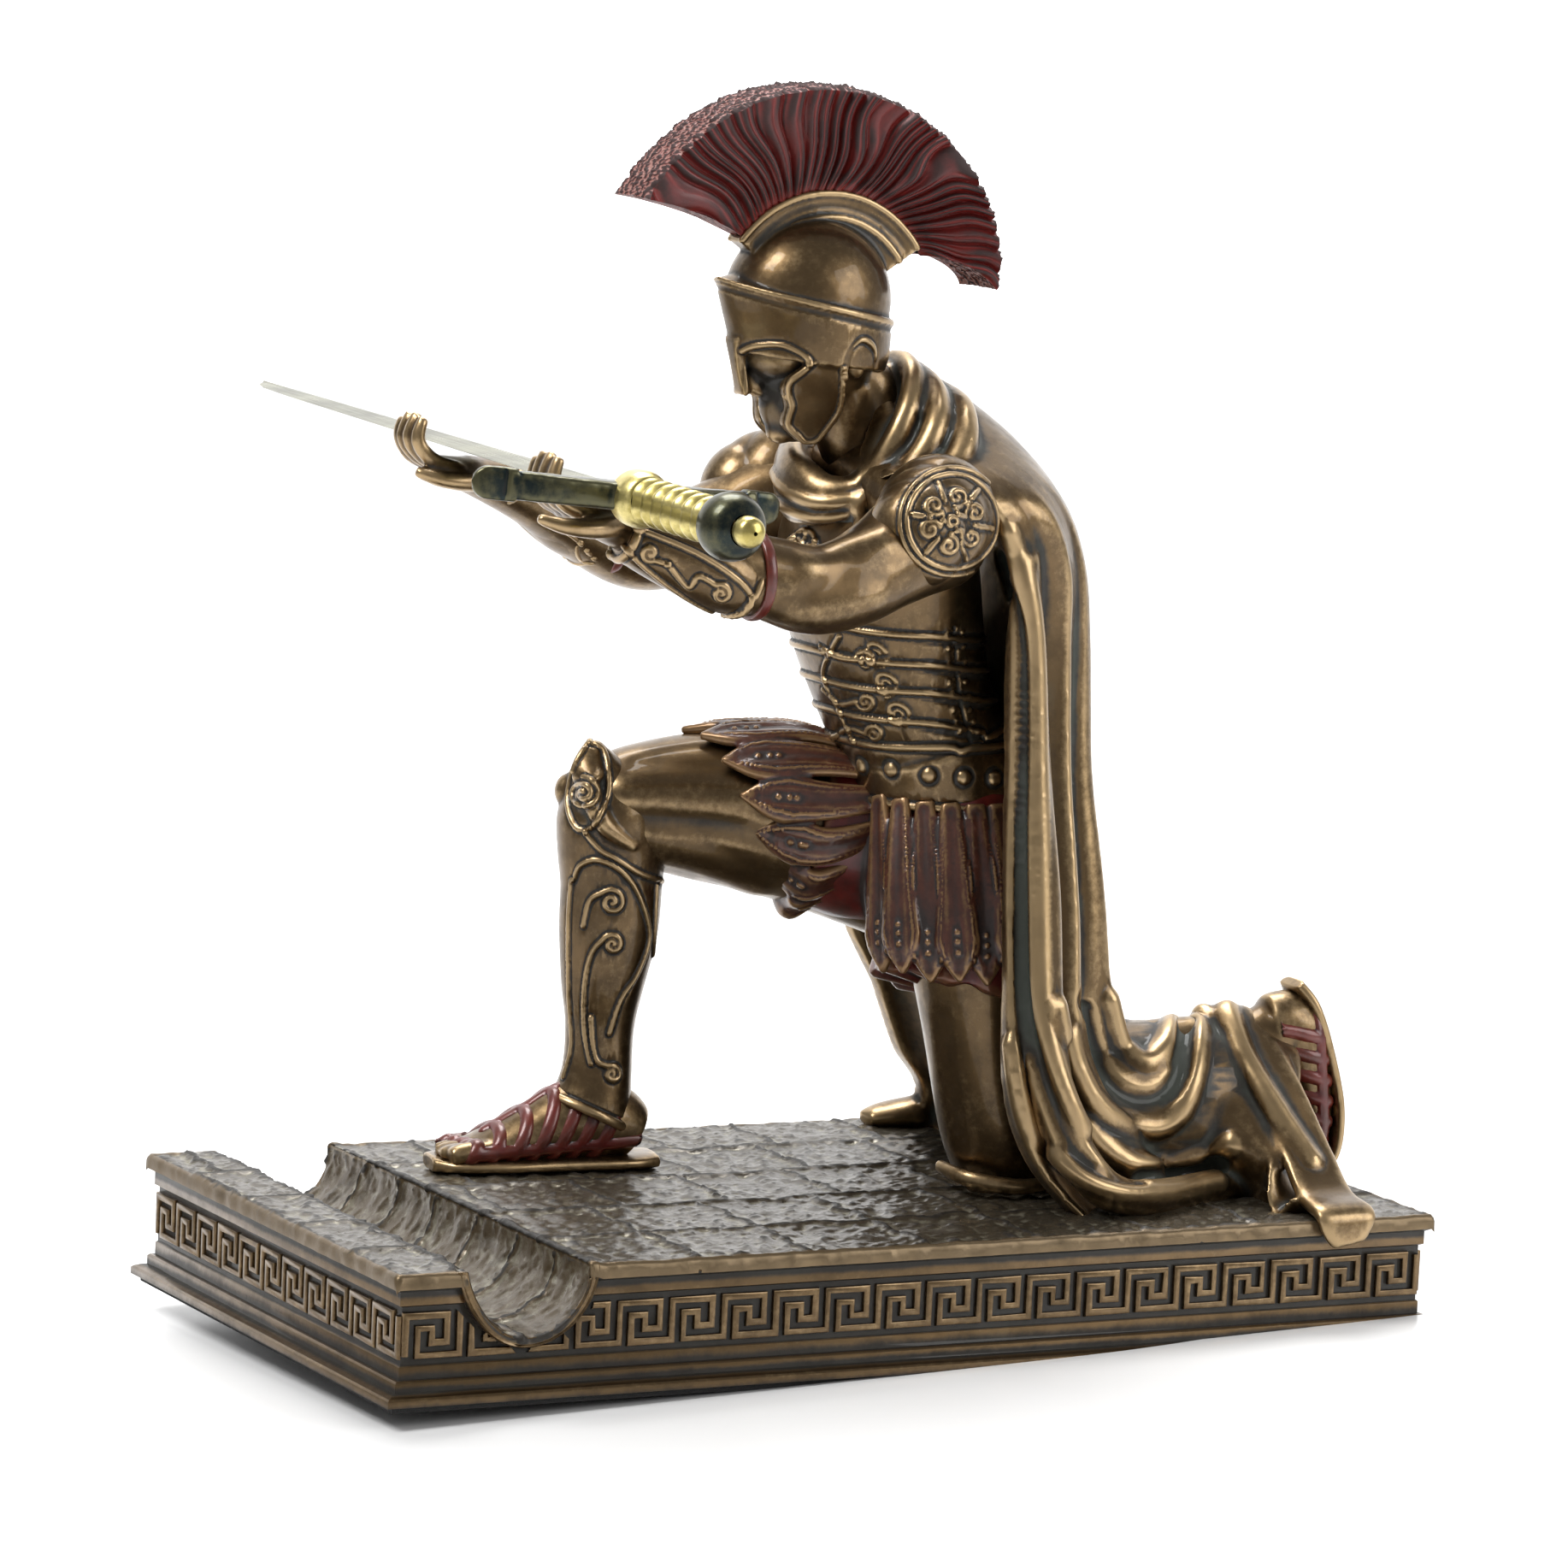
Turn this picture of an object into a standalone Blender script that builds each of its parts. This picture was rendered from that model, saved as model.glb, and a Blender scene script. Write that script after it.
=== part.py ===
"""A desk figurine: a helmeted warrior kneels on one knee and offers a sword on both palms.

The plinth carries a key pattern on its four faces, paving on its top and a trough for a pen.
The sword is a loose letter opener that rests on the palms. All lengths are in metres, the
origin is the middle of the underside, and the warrior faces -X.
"""

import math

import bmesh
import bpy
from mathutils import Matrix, Vector

# Plinth
PLINTH_LENGTH = 0.178
PLINTH_WIDTH = 0.098
PLINTH_TOP = 0.0201
PAD_THICKNESS = 0.0007
PAD_INSET = 0.0012
SEAT_GAP = 0.0003
RIM_INSET = 0.00145
RIM_THICKNESS = 0.0022
FOOT_HEIGHT = 0.0012
COVE_HEIGHT = 0.0006
GROOVE = 0.0003
FRIEZE_INSET = 0.0031
FRIEZE_LOW = 0.0066
FRIEZE_HIGH = 0.0151
JOINT_WIDTH = 0.0008
JOINT_DEPTH = 0.0006

# Key pattern
KEY_PITCH = 0.0085
KEY_BAR = 0.00105
KEY_RELIEF = 0.0006
KEY_MARGIN = 0.0008

# Pen trough
TROUGH_WIDTH = 0.0196
TROUGH_DEPTH = 0.0103
TROUGH_FROM_END = 0.0225
TROUGH_BAND = 0.0014

# Paving
STONE_LENGTH = 0.019
STONE_WIDTH = 0.0195

# Sword
SWORD_LENGTH = 0.170
GRIP_LENGTH = 0.040
BLADE_WIDTH = 0.0118
BLADE_THICKNESS = 0.0024
GUARD_SPAN = 0.0505
GUARD_DEPTH = 0.0044
GUARD_THICKNESS = 0.0042
GRIP_RADIUS = 0.0031
POMMEL_RADIUS = 0.0049

# Warrior, from the paving to the top of the crest, and the same in the figure's own parts
FIGURE_HEIGHT = 0.169
FIGURE_PARTS = 169
UNIT = FIGURE_HEIGHT / FIGURE_PARTS
FIGURE_BASE = PLINTH_TOP + SEAT_GAP
MEDIAN = 3
VOXEL = 0.00052
FIGURE_TRIANGLES = 4300

# Where the blade's far edge and underside lie between fingers and palms, in the figure's parts,
# and how the sword is turned, in degrees
SWORD_REST = (-57.1, 9, 110.9)
SWORD_RISE = 1.9
SWORD_ROLL = 5.1
SWORD_YAW = 1.1


def new_object(name, mesh_or_bm):
    """Puts a mesh, or the mesh of a finished bmesh, into the scene under a name."""
    mesh = mesh_or_bm
    if isinstance(mesh_or_bm, bmesh.types.BMesh):
        mesh = bpy.data.meshes.new(name)
        bmesh.ops.recalc_face_normals(mesh_or_bm, faces=mesh_or_bm.faces)
        mesh_or_bm.to_mesh(mesh)
        mesh_or_bm.free()
    obj = bpy.data.objects.new(name, mesh)
    bpy.context.scene.collection.objects.link(obj)
    return obj


def finish(obj, colour, roughness, metallic, smooth_angle=35):
    """Gives a piece its plain material, and smooth shading between its sharp edges."""
    material = bpy.data.materials.new(obj.name)
    material.use_nodes = True
    shader = material.node_tree.nodes["Principled BSDF"]
    shader.inputs["Base Color"].default_value = (*colour, 1)
    shader.inputs["Roughness"].default_value = roughness
    shader.inputs["Metallic"].default_value = metallic
    obj.data.materials.append(material)
    obj.data.shade_smooth()
    obj.data.set_sharp_from_angle(angle=math.radians(smooth_angle))


def cutter(name, bm):
    """A shape that only serves a Boolean, kept out of the part."""
    obj = new_object(name, bm)
    obj.hide_render = True
    obj.display_type = "WIRE"
    return obj


def boolean(obj, operation, other):
    modifier = obj.modifiers.new(f"{operation.lower()} {other.name}", "BOOLEAN")
    modifier.operation = operation
    modifier.solver = "EXACT"
    modifier.object = other


def add_box(bm, low, high):
    size = Vector(high) - Vector(low)
    matrix = Matrix.Translation((Vector(low) + Vector(high)) / 2) @ Matrix.Diagonal((*size, 1))
    bmesh.ops.create_cube(bm, size=1, matrix=matrix)


def add_rings(bm, rings):
    """Skins equal closed rings of points, and closes both ends with a face."""
    loops = [[bm.verts.new(point) for point in ring] for ring in rings]
    for first, second in zip(loops, loops[1:]):
        for i in range(len(first)):
            j = (i + 1) % len(first)
            bm.faces.new((first[i], first[j], second[j], second[i]))
    bm.faces.new(loops[0])
    bm.faces.new(loops[-1])


def through(stations, steps):
    """Points on a smooth curve through the stations, each a tuple of numbers."""
    found = []
    count = len(stations)
    for i in range(count - 1):
        before, start, end, after = (stations[min(max(i + k, 0), count - 1)] for k in (-1, 0, 1, 2))
        for step in range(steps):
            t = step / steps
            found.append(
                tuple(
                    0.5 * (2 * b + (c - a) * t + (2 * a - 5 * b + 4 * c - d) * t**2
                           + (3 * b - a - 3 * c + d) * t**3)
                    for a, b, c, d in zip(before, start, end, after)
                )
            )
    found.append(tuple(stations[-1]))
    return found


def add_limb(bm, stations, side=(0, 1, 0), steps=4, points=18, blunt=2.0):
    """A rounded form along stations of (x, y, z, half depth, half width across the side)."""
    path = through(stations, steps)
    rings = []
    for i, (x, y, z, depth, width) in enumerate(path):
        ahead = Vector(path[min(i + 1, len(path) - 1)][:3]) - Vector(path[max(i - 1, 0)][:3])
        ahead.normalize()
        across = (Vector(side) - ahead * ahead.dot(Vector(side))).normalized()
        over = ahead.cross(across)
        ring = []
        for k in range(points):
            angle = math.tau * k / points
            c, s = math.cos(angle), math.sin(angle)
            power = 2 / blunt
            c, s = math.copysign(abs(c) ** power, c), math.copysign(abs(s) ** power, s)
            ring.append(Vector((x, y, z)) + over * depth * c + across * width * s)
        rings.append(ring)
    add_rings(bm, rings)


def add_ball(bm, centre, radii, turn=0):
    """An ellipsoid, turned about Y by some degrees."""
    matrix = (
        Matrix.Translation(centre)
        @ Matrix.Rotation(math.radians(turn), 4, "Y")
        @ Matrix.Diagonal((*radii, 1))
    )
    bmesh.ops.create_icosphere(bm, subdivisions=3, radius=1, matrix=matrix)


def add_plate(bm, outer, inner):
    """A closed plate between two equal grids of points."""
    grids = [[[bm.verts.new(p) for p in row] for row in grid] for grid in (outer, inner)]
    rows, columns = len(outer), len(outer[0])
    for grid in grids:
        for i in range(rows - 1):
            for j in range(columns - 1):
                bm.faces.new((grid[i][j], grid[i][j + 1], grid[i + 1][j + 1], grid[i + 1][j]))
    border = [(0, j) for j in range(columns - 1)]
    border += [(i, columns - 1) for i in range(rows - 1)]
    border += [(rows - 1, j) for j in range(columns - 1, 0, -1)]
    border += [(i, 0) for i in range(rows - 1, 0, -1)]
    for (i, j), (k, m) in zip(border, border[1:] + border[:1]):
        bm.faces.new((grids[0][i][j], grids[0][k][m], grids[1][k][m], grids[1][i][j]))


def build_plinth():
    """A moulded block with the key pattern, the paved top and the pen trough."""
    floor = PAD_THICKNESS + SEAT_GAP
    step = (FRIEZE_LOW - floor - FOOT_HEIGHT - COVE_HEIGHT) / 2
    rim_low = PLINTH_TOP - RIM_THICKNESS
    profile = [
        (0, floor),
        (0, floor + FOOT_HEIGHT),
        (RIM_INSET * 0.8, floor + FOOT_HEIGHT + COVE_HEIGHT),
        (RIM_INSET * 1.3, floor + FOOT_HEIGHT + COVE_HEIGHT),
        (RIM_INSET * 1.3, FRIEZE_LOW - step),
        (FRIEZE_INSET - GROOVE, FRIEZE_LOW - step + GROOVE),
        (FRIEZE_INSET - GROOVE, FRIEZE_LOW - GROOVE),
        (FRIEZE_INSET, FRIEZE_LOW),
        (FRIEZE_INSET, FRIEZE_HIGH),
        (FRIEZE_INSET - 2 * GROOVE, FRIEZE_HIGH + GROOVE),
        (FRIEZE_INSET - 2 * GROOVE, rim_low - GROOVE),
        (RIM_INSET, rim_low),
        (RIM_INSET, PLINTH_TOP - GROOVE),
        (RIM_INSET + GROOVE, PLINTH_TOP),
    ]
    rings = []
    for inset, height in profile:
        x, y = PLINTH_LENGTH / 2 - inset, PLINTH_WIDTH / 2 - inset
        rings.append([(-x, -y, height), (x, -y, height), (x, y, height), (-x, y, height)])
    bm = bmesh.new()
    add_rings(bm, rings)
    plinth = new_object("plinth", bm)
    for turn in range(4):
        boolean(plinth, "UNION", key_pattern(turn))
    boolean(plinth, "DIFFERENCE", trough_cutter())
    for end in (-1, 1):
        boolean(plinth, "UNION", trough_band(end))
    boolean(plinth, "DIFFERENCE", joint_cutter())
    finish(plinth, (0.21, 0.16, 0.1), 0.5, 0.6, 30)
    return plinth


def key_path(length):
    """The middle line of the key pattern along a face, from its start to its end."""
    count = max(1, round(length / KEY_PITCH))
    pitch = length / count
    height = FRIEZE_HIGH - FRIEZE_LOW - 2 * KEY_MARGIN - KEY_BAR
    outer, inner, low, high = 0.763, 0.483, 0.318, 0.679
    turn = 0.222
    unit = [(0, 0), (0, 1), (outer, 1), (outer, low), (inner, low), (inner, high), (turn, high)]
    unit.append((turn, 0))
    base = FRIEZE_LOW + KEY_MARGIN + KEY_BAR / 2
    start = -length / 2
    path = [
        Vector((start + (copy + u) * pitch, base + v * height)) for copy in range(count) for u, v in unit
    ]
    path.append(Vector((start + length, base)))
    path.append(Vector((start + length, base + height)))
    return path


def key_pattern(turn):
    """The raised key pattern of one face, turned to its side."""
    long_side, other = (PLINTH_LENGTH, PLINTH_WIDTH) if turn % 2 == 0 else (PLINTH_WIDTH, PLINTH_LENGTH)
    path = key_path(long_side - 2 * FRIEZE_INSET - KEY_BAR)
    half = KEY_BAR / 2
    left, right = [], []
    for i, point in enumerate(path):
        into = (point - path[i - 1]).normalized() if i else None
        out = (path[i + 1] - point).normalized() if i + 1 < len(path) else into
        into = into or out
        normal_in, normal_out = Vector((-into.y, into.x)), Vector((-out.y, out.x))
        reach = normal_in + (normal_out if normal_out != normal_in else Vector((0, 0)))
        left.append(point + reach * half)
        right.append(point - reach * half)
    for side in (left, right):
        side[0].y = path[0].y - half
        side[-1].y = path[-1].y + half
    face = other / 2 - FRIEZE_INSET
    rings = []
    for a, b in zip(left, right):
        deep, proud = -face + KEY_RELIEF, -face - KEY_RELIEF
        rings.append([(a.x, deep, a.y), (a.x, proud, a.y), (b.x, proud, b.y), (b.x, deep, b.y)])
    bm = bmesh.new()
    add_rings(bm, rings)
    bmesh.ops.rotate(bm, verts=bm.verts, matrix=Matrix.Rotation(turn * math.pi / 2, 3, "Z"))
    return cutter(f"key pattern {turn + 1}", bm)


def trough_profile(grow):
    """The round hollow of the trough, from the left shoulder down and up to the right lip."""
    middle = -PLINTH_LENGTH / 2 + TROUGH_FROM_END
    half, depth = TROUGH_WIDTH / 2, TROUGH_DEPTH + grow
    shoulder = 0.18
    outline = []
    for i in range(13):
        angle = math.pi * i / 12
        across, down = -math.cos(angle), math.sin(angle)
        spread = half * (1 - shoulder * down * (1 - across) / 2) + grow
        outline.append((middle + across * spread, PLINTH_TOP - depth * down))
    return outline


def trough_cutter():
    outline = trough_profile(0)
    above = PLINTH_TOP + TROUGH_DEPTH
    outline = [(outline[0][0], above), *outline, (outline[-1][0], above)]
    bm = bmesh.new()
    add_rings(bm, [[(x, y, z) for x, z in outline] for y in (-PLINTH_WIDTH, PLINTH_WIDTH)])
    return cutter("trough cutter", bm)


def trough_band(end):
    """The flat band that follows the trough across one long face, flush with the rim."""
    outer, inner = trough_profile(TROUGH_BAND), trough_profile(0)
    bm = bmesh.new()
    rings = []
    for a, b in zip(outer, inner):
        proud, deep = (end * (PLINTH_WIDTH / 2 - inset) for inset in (RIM_INSET, FRIEZE_INSET + KEY_BAR))
        rings.append([(a[0], proud, a[1]), (b[0], proud, b[1]), (b[0], deep, b[1]), (a[0], deep, a[1])])
    add_rings(bm, rings)
    return cutter(f"trough band {end}", bm)


def joint_cutter():
    """The joints between the paving stones, as thin upright blades that don't cross each other."""
    half_length, half_width = PLINTH_LENGTH / 2, PLINTH_WIDTH / 2
    lip = -half_length + TROUGH_FROM_END + TROUGH_WIDTH / 2
    field = half_length - lip
    columns = max(1, round(field / STONE_LENGTH))
    rows = max(1, round(PLINTH_WIDTH / STONE_WIDTH))
    low, high = PLINTH_TOP - JOINT_DEPTH, PLINTH_TOP + JOINT_DEPTH
    edge = RIM_INSET * 2
    bm = bmesh.new()
    for row in range(1, rows):
        y = -half_width + row * PLINTH_WIDTH / rows
        near, far = y - JOINT_WIDTH / 2, y + JOINT_WIDTH / 2
        add_box(bm, (lip + edge, near, low), (half_length - edge, far, high))
        strip_end = lip - TROUGH_WIDTH - edge / 2
        add_box(bm, (-half_length, near, low), (strip_end, far, high))
    for row in range(rows):
        start = -half_width + row * PLINTH_WIDTH / rows + JOINT_WIDTH
        end = start + PLINTH_WIDTH / rows - 2 * JOINT_WIDTH
        for column in range(1, columns):
            x = lip + (column - 0.5 * (row % 2) + 0.25) * field / columns
            add_box(bm, (x - JOINT_WIDTH / 2, start, low), (x + JOINT_WIDTH / 2, end, high))
    return cutter("joint cutter", bm)


def build_pad():
    bm = bmesh.new()
    x, y = PLINTH_LENGTH / 2 - PAD_INSET, PLINTH_WIDTH / 2 - PAD_INSET
    add_box(bm, (-x, -y, 0), (x, y, PAD_THICKNESS))
    pad = new_object("base_pad", bm)
    finish(pad, (0.012, 0.012, 0.012), 0.95, 0)
    return pad


def build_sword():
    """The letter opener, along +Y from pommel to point, then laid over the palms."""
    guard_at = -SWORD_LENGTH / 2 + GRIP_LENGTH
    tip = SWORD_LENGTH / 2
    bm = bmesh.new()
    rings = []
    slim, point_from = 0.38, 0.8
    for share in (0, 0.06, 0.3, 0.6, 0.85, 0.96, 1):
        y = guard_at + share * (tip - guard_at)
        keep = 1 - slim * min(share, point_from)
        if share > point_from:
            keep *= math.sqrt(max(1 - ((share - point_from) / (1 - point_from)) ** 2, 0.0004))
        half = BLADE_WIDTH / 2 * keep
        thick = BLADE_THICKNESS / 2 * (1 - 0.5 * share)
        rings.append([(half, y, 0), (0, y, thick), (-half, y, 0), (0, y, -thick)])
    add_rings(bm, rings)
    sword = new_object("sword", bm)
    for fitting in (sword_guard(guard_at), sword_grip(guard_at)):
        fitting.parent = sword
        boolean(sword, "UNION", fitting)
    finish(sword, (0.32, 0.3, 0.2), 0.3, 0.9)
    half = Vector((BLADE_WIDTH / 2, 0, BLADE_THICKNESS / 2))
    sword.location = Vector(SWORD_REST) * UNIT + half + Vector((0, 0, FIGURE_BASE))
    sword.rotation_euler = [math.radians(turn) for turn in (SWORD_RISE, SWORD_ROLL, SWORD_YAW)]
    return sword


def sword_guard(guard_at):
    """A bowed cross guard with a block at its middle and a knob at each end."""
    half = GUARD_SPAN / 2
    bow = GUARD_DEPTH * 0.35
    bm = bmesh.new()
    stations = []
    for i in range(13):
        share = -1 + i / 6
        deep = GUARD_DEPTH * (0.5 + 0.18 * math.cos(share * math.pi)) * (0.72 if abs(share) > 0.8 else 1)
        thick = GUARD_THICKNESS * (0.5 if abs(share) < 0.75 else 0.58)
        stations.append((share * half, guard_at - bow * (1 - share**2), 0, thick, deep))
    add_limb(bm, stations, steps=1, points=8, blunt=4)
    return cutter("guard", bm)


def sword_grip(guard_at):
    """The collar, the ribbed grip and the round pommel with its knob, turned along the sword."""
    start = guard_at - GUARD_DEPTH * 0.3
    end = -SWORD_LENGTH / 2
    run = start - end
    profile = [(0, 1.15), (0.06, 1.34), (0.12, 1.34), (0.15, 1.1)]
    ribs = 6
    for i in range(ribs * 2 + 1):
        share = 0.17 + 0.5 * i / (ribs * 2)
        profile.append((share, 1.08 if i % 2 else 0.86))
    swell = POMMEL_RADIUS / GRIP_RADIUS
    profile += [(0.71, 0.9), (0.74, 0.8 * swell), (0.81, swell), (0.88, 0.86 * swell)]
    profile += [(0.92, 0.5 * swell), (0.94, 0.42 * swell), (0.97, 0.42 * swell), (1, 0.2 * swell)]
    points = 12
    bm = bmesh.new()
    rings = []
    for share, radius in profile:
        y = start - share * run
        r = radius * GRIP_RADIUS
        turns = [math.tau * k / points for k in range(points)]
        rings.append([(r * math.cos(turn), y, r * math.sin(turn)) for turn in turns])
    add_rings(bm, rings)
    return cutter("grip", bm)


def add_body(bm):
    """Torso, neck, head, arms and legs."""
    torso = [
        (28, 3, 40, 9, 12), (27.3, 3, 49, 13, 16), (25.5, 3, 58, 13.2, 16.5),
        (21.5, 3, 67, 12.2, 15.2), (17.3, 3, 76, 12.4, 15.6), (14.3, 3, 85, 13.4, 17.2),
        (12.2, 3, 94, 13.6, 19), (11.2, 3, 101, 12, 20), (10.8, 3, 107, 9, 15), (10.5, 3, 111, 6, 8),
    ]
    add_limb(bm, torso, points=24, blunt=2.3)
    add_limb(bm, [(12, 3, 104, 7.5, 8.5), (8.5, 3, 113, 6.6, 6.4), (4, 3, 123, 7, 6.6)])
    shoulders = [(9.6, -15, 106.5, 5.5, 6.4), (9, 3, 110, 6.5, 7), (9.6, 21, 106.5, 5.5, 6.4)]
    add_limb(bm, shoulders, side=(1, 0, 0))
    add_ball(bm, (3.6, -9.5, 110), (5, 6, 5))
    add_ball(bm, (-0.2, 3, 130), (10, 8.4, 13), 8)
    add_ball(bm, (-3.4, 3, 120.6), (6, 5, 6.2))
    add_ball(bm, (-9.4, 3, 124.6), (3, 1.8, 3.6))
    near_arm = [
        (12, -17, 103, 9, 8), (6, -22, 102.5, 8.8, 7.8), (-2, -25.5, 99.4, 7.4, 7),
        (-9, -27.5, 96.6, 6.9, 6.6), (-15.5, -28, 95.4, 6.6, 6.2), (-21, -27.8, 96.8, 6.4, 6.3),
        (-28, -27.2, 98.8, 5.7, 6), (-38, -26, 102, 4.4, 4.9), (-46, -25.3, 104.7, 3.3, 4.2),
        (-50, -25, 105.8, 2.7, 4.2),
    ]
    add_limb(bm, near_arm)
    far_arm = [
        (12, 22, 103, 9, 8), (6, 26, 102.5, 8.8, 7.8), (-2, 28.5, 99, 7.4, 7), (-9, 29.6, 96.2, 6.8, 6.5),
        (-14, 29, 95.6, 6.5, 6.1), (-20, 28, 97, 6.2, 6.2), (-27, 27, 99.8, 5, 5.6),
        (-36, 25, 104.2, 3.9, 4.6), (-43, 23, 107, 3, 4), (-47, 22.2, 107.9, 2.7, 4),
    ]
    add_limb(bm, far_arm)
    add_ball(bm, (8.6, -21.4, 105.2), (9.8, 7.4, 9.9), -8)
    add_ball(bm, (8.6, 27.4, 105.2), (9.8, 7.4, 9.9), -8)
    thigh = [
        (24, 9, 49, 14, 12), (13, 13, 53, 14, 12.4), (2, 16.5, 55.3, 13, 12), (-9, 19.2, 56.2, 11.6, 10.6),
        (-18, 20, 56.6, 9.8, 9.2), (-24, 20, 56.6, 8, 8), (-28, 20, 56.4, 5, 5.5),
    ]
    add_limb(bm, thigh)
    kneeling_thigh = [
        (26, -4, 52, 13, 12.5), (27.4, -7.5, 38, 11.8, 11.6), (28, -9, 28, 10.4, 10.2),
        (28.8, -9.6, 18, 9.2, 9.2), (30, -10, 9, 8.4, 8.6), (31, -10, 2, 6.6, 7), (31.2, -10, -2, 5, 5),
    ]
    add_limb(bm, kneeling_thigh)
    calf = [
        (31, -10, 7, 7.5, 7.8), (42, -11.5, 12, 9.6, 9), (54, -14, 16.2, 9, 8.6), (65, -16, 19.6, 6.8, 6.6),
        (73, -17.3, 22.4, 5.4, 5.2), (78, -18, 26.4, 4.8, 4.8),
    ]
    add_limb(bm, calf)


def add_hand(bm, wrist, knuckle, tip):
    """An open palm under the blade, its fingers curled up past the blade's edge."""
    wx, wy, wz = wrist
    kx, ky, kz = knuckle
    palm = [(wx + 3, wy, wz - 0.4, 2.4, 3.4),
            ((wx + kx) / 2, (wy + ky) / 2, (wz + kz) / 2 - 0.3, 2.4, 4.6),
            (kx, ky, kz, 2, 4.9), (kx - 2, ky, kz + 0.6, 1.6, 4.4)]
    add_limb(bm, palm, points=14)
    tx, tz = tip
    for finger in range(4):
        y = ky + (finger - 1.5) * 2.45
        reach = (1, 1.06, 1.04, 0.94)[finger]
        joints = [(kx + 1, y, kz, 1.35, 1.35), (kx - 3.5, y, kz + 1.6, 1.3, 1.3),
                  (kx + (tx - kx) * reach - 0.5, y, (kz + tz) / 2 + 0.6, 1.2, 1.2),
                  (tx + 0.4, y, kz + (tz - kz) * reach, 1.05, 1.05)]
        add_limb(bm, joints, points=10, steps=3)
    thumb = [(wx, wy - 2.6, wz - 0.5, 1.9, 1.9), (wx - 5, wy - 5.2, wz - 0.8, 1.7, 1.8),
             (wx - 10.5, wy - 6, wz - 0.4, 1.3, 1.6), (wx - 14.5, wy - 5, wz + 0.8, 0.9, 1.1)]
    add_limb(bm, thumb, points=10)


def add_hands(bm):
    add_hand(bm, (-47.5, -25.2, 106), (-53, -24.6, 106.8), (-58.2, 115.4))
    add_hand(bm, (-45.5, 22.4, 107.9), (-53.5, 21.6, 108.7), (-59, 116.8))


def add_helmet(bm):
    """Dome, brow band that peaks at the front, nose guard and cheek guards."""
    add_ball(bm, (-2.2, MEDIAN, 136.4), (13.2, 11, 12.4))
    rings = []
    for front, back, low, rear, half in (
        (-14.4, 10.4, 128.4, 125.6, 10.2), (-15.2, 11, 131.5, 127.6, 10.9),
        (-17.6, 11.4, 139.4, 133, 11.5), (-14, 10.6, 140.2, 133.8, 10.7),
    ):
        ring = []
        for k in range(28):
            angle = math.tau * k / 28
            c, s = math.cos(angle), math.sin(angle)
            x = (front + back) / 2 - (back - front) / 2 * c
            y = MEDIAN + half * s * (1 - 0.3 * max(c, 0) ** 2)
            share = (1 - c) / 2
            ring.append((x, y, low + (rear - low) * share**0.8))
        rings.append(ring)
    add_rings(bm, rings)
    nose = [(-14, MEDIAN, 129.5, 1.1, 2), (-13.4, MEDIAN, 126, 1, 1.4), (-12.4, MEDIAN, 121.8, 1, 1.8)]
    add_limb(bm, nose, blunt=4, points=10)
    for side in (-1, 1):
        outer, inner = [], []
        for front, back, height, bulge in (
            (-7, 2.5, 130.5, 10), (-6, -0.6, 127.4, 9.6), (-9.2, -0.2, 124.2, 8.8),
            (-7.8, 0.2, 120.5, 7.8), (-7.8, -1, 117.4, 6.6), (-4.8, -2.6, 114.8, 5.4),
        ):
            spots = [front + (back - front) * k / 5 for k in range(6)]
            widths = [bulge * math.sqrt(max(1 - ((x - 1) / 11.5) ** 2, 0.1)) for x in spots]
            outer.append([(x, MEDIAN + side * (w + 0.9), height) for x, w in zip(spots, widths)])
            inner.append([(x + 0.4, MEDIAN + side * (w - 2.2), height) for x, w in zip(spots, widths)])
        add_plate(bm, outer, inner)
        add_ball(bm, (2, MEDIAN + side * 8.6, 127.6), (1.9, 1.5, 2.8), -15)


def crest_radii(angle):
    """The crest's inner and outer radius at an angle over the dome, larger to the front."""
    share = max((angle - 9) / 142, 0)
    return 18.4, 27.6 + 9.3 * share**0.62


def add_crest(bm):
    """The fan of hair, broad outside, over a narrow arched holder."""
    hub = Vector((0, MEDIAN, 134))
    locks = 26
    sides = []
    for face in (-1, 1):
        grid = []
        for i in range(locks * 2 + 1):
            share = i / (locks * 2)
            row = []
            for j in range(4):
                out = j / 3
                rear, front = 30 - 21 * out, 141 + 11 * out
                angle = rear + share * (front - rear)
                inner, outer = crest_radii(angle)
                radius = inner + (outer - inner) * out
                lock = 0.35 * math.cos(math.pi * i) * out
                half = 1.9 + 3.3 * out + lock
                turn = math.radians(angle)
                row.append(hub + Vector((radius * math.cos(turn), face * half, radius * math.sin(turn))))
            grid.append(row)
        sides.append(grid)
    add_plate(bm, sides[0], sides[1])
    holder = []
    for face in (-1, 1):
        grid = []
        for i in range(21):
            turn = math.radians(32 + 112 * i / 20)
            row = []
            for radius in (11, 15, 19.2):
                row.append(hub + Vector((radius * math.cos(turn), face * 1.9, radius * math.sin(turn))))
            grid.append(row)
        holder.append(grid)
    add_plate(bm, holder[0], holder[1])


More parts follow.
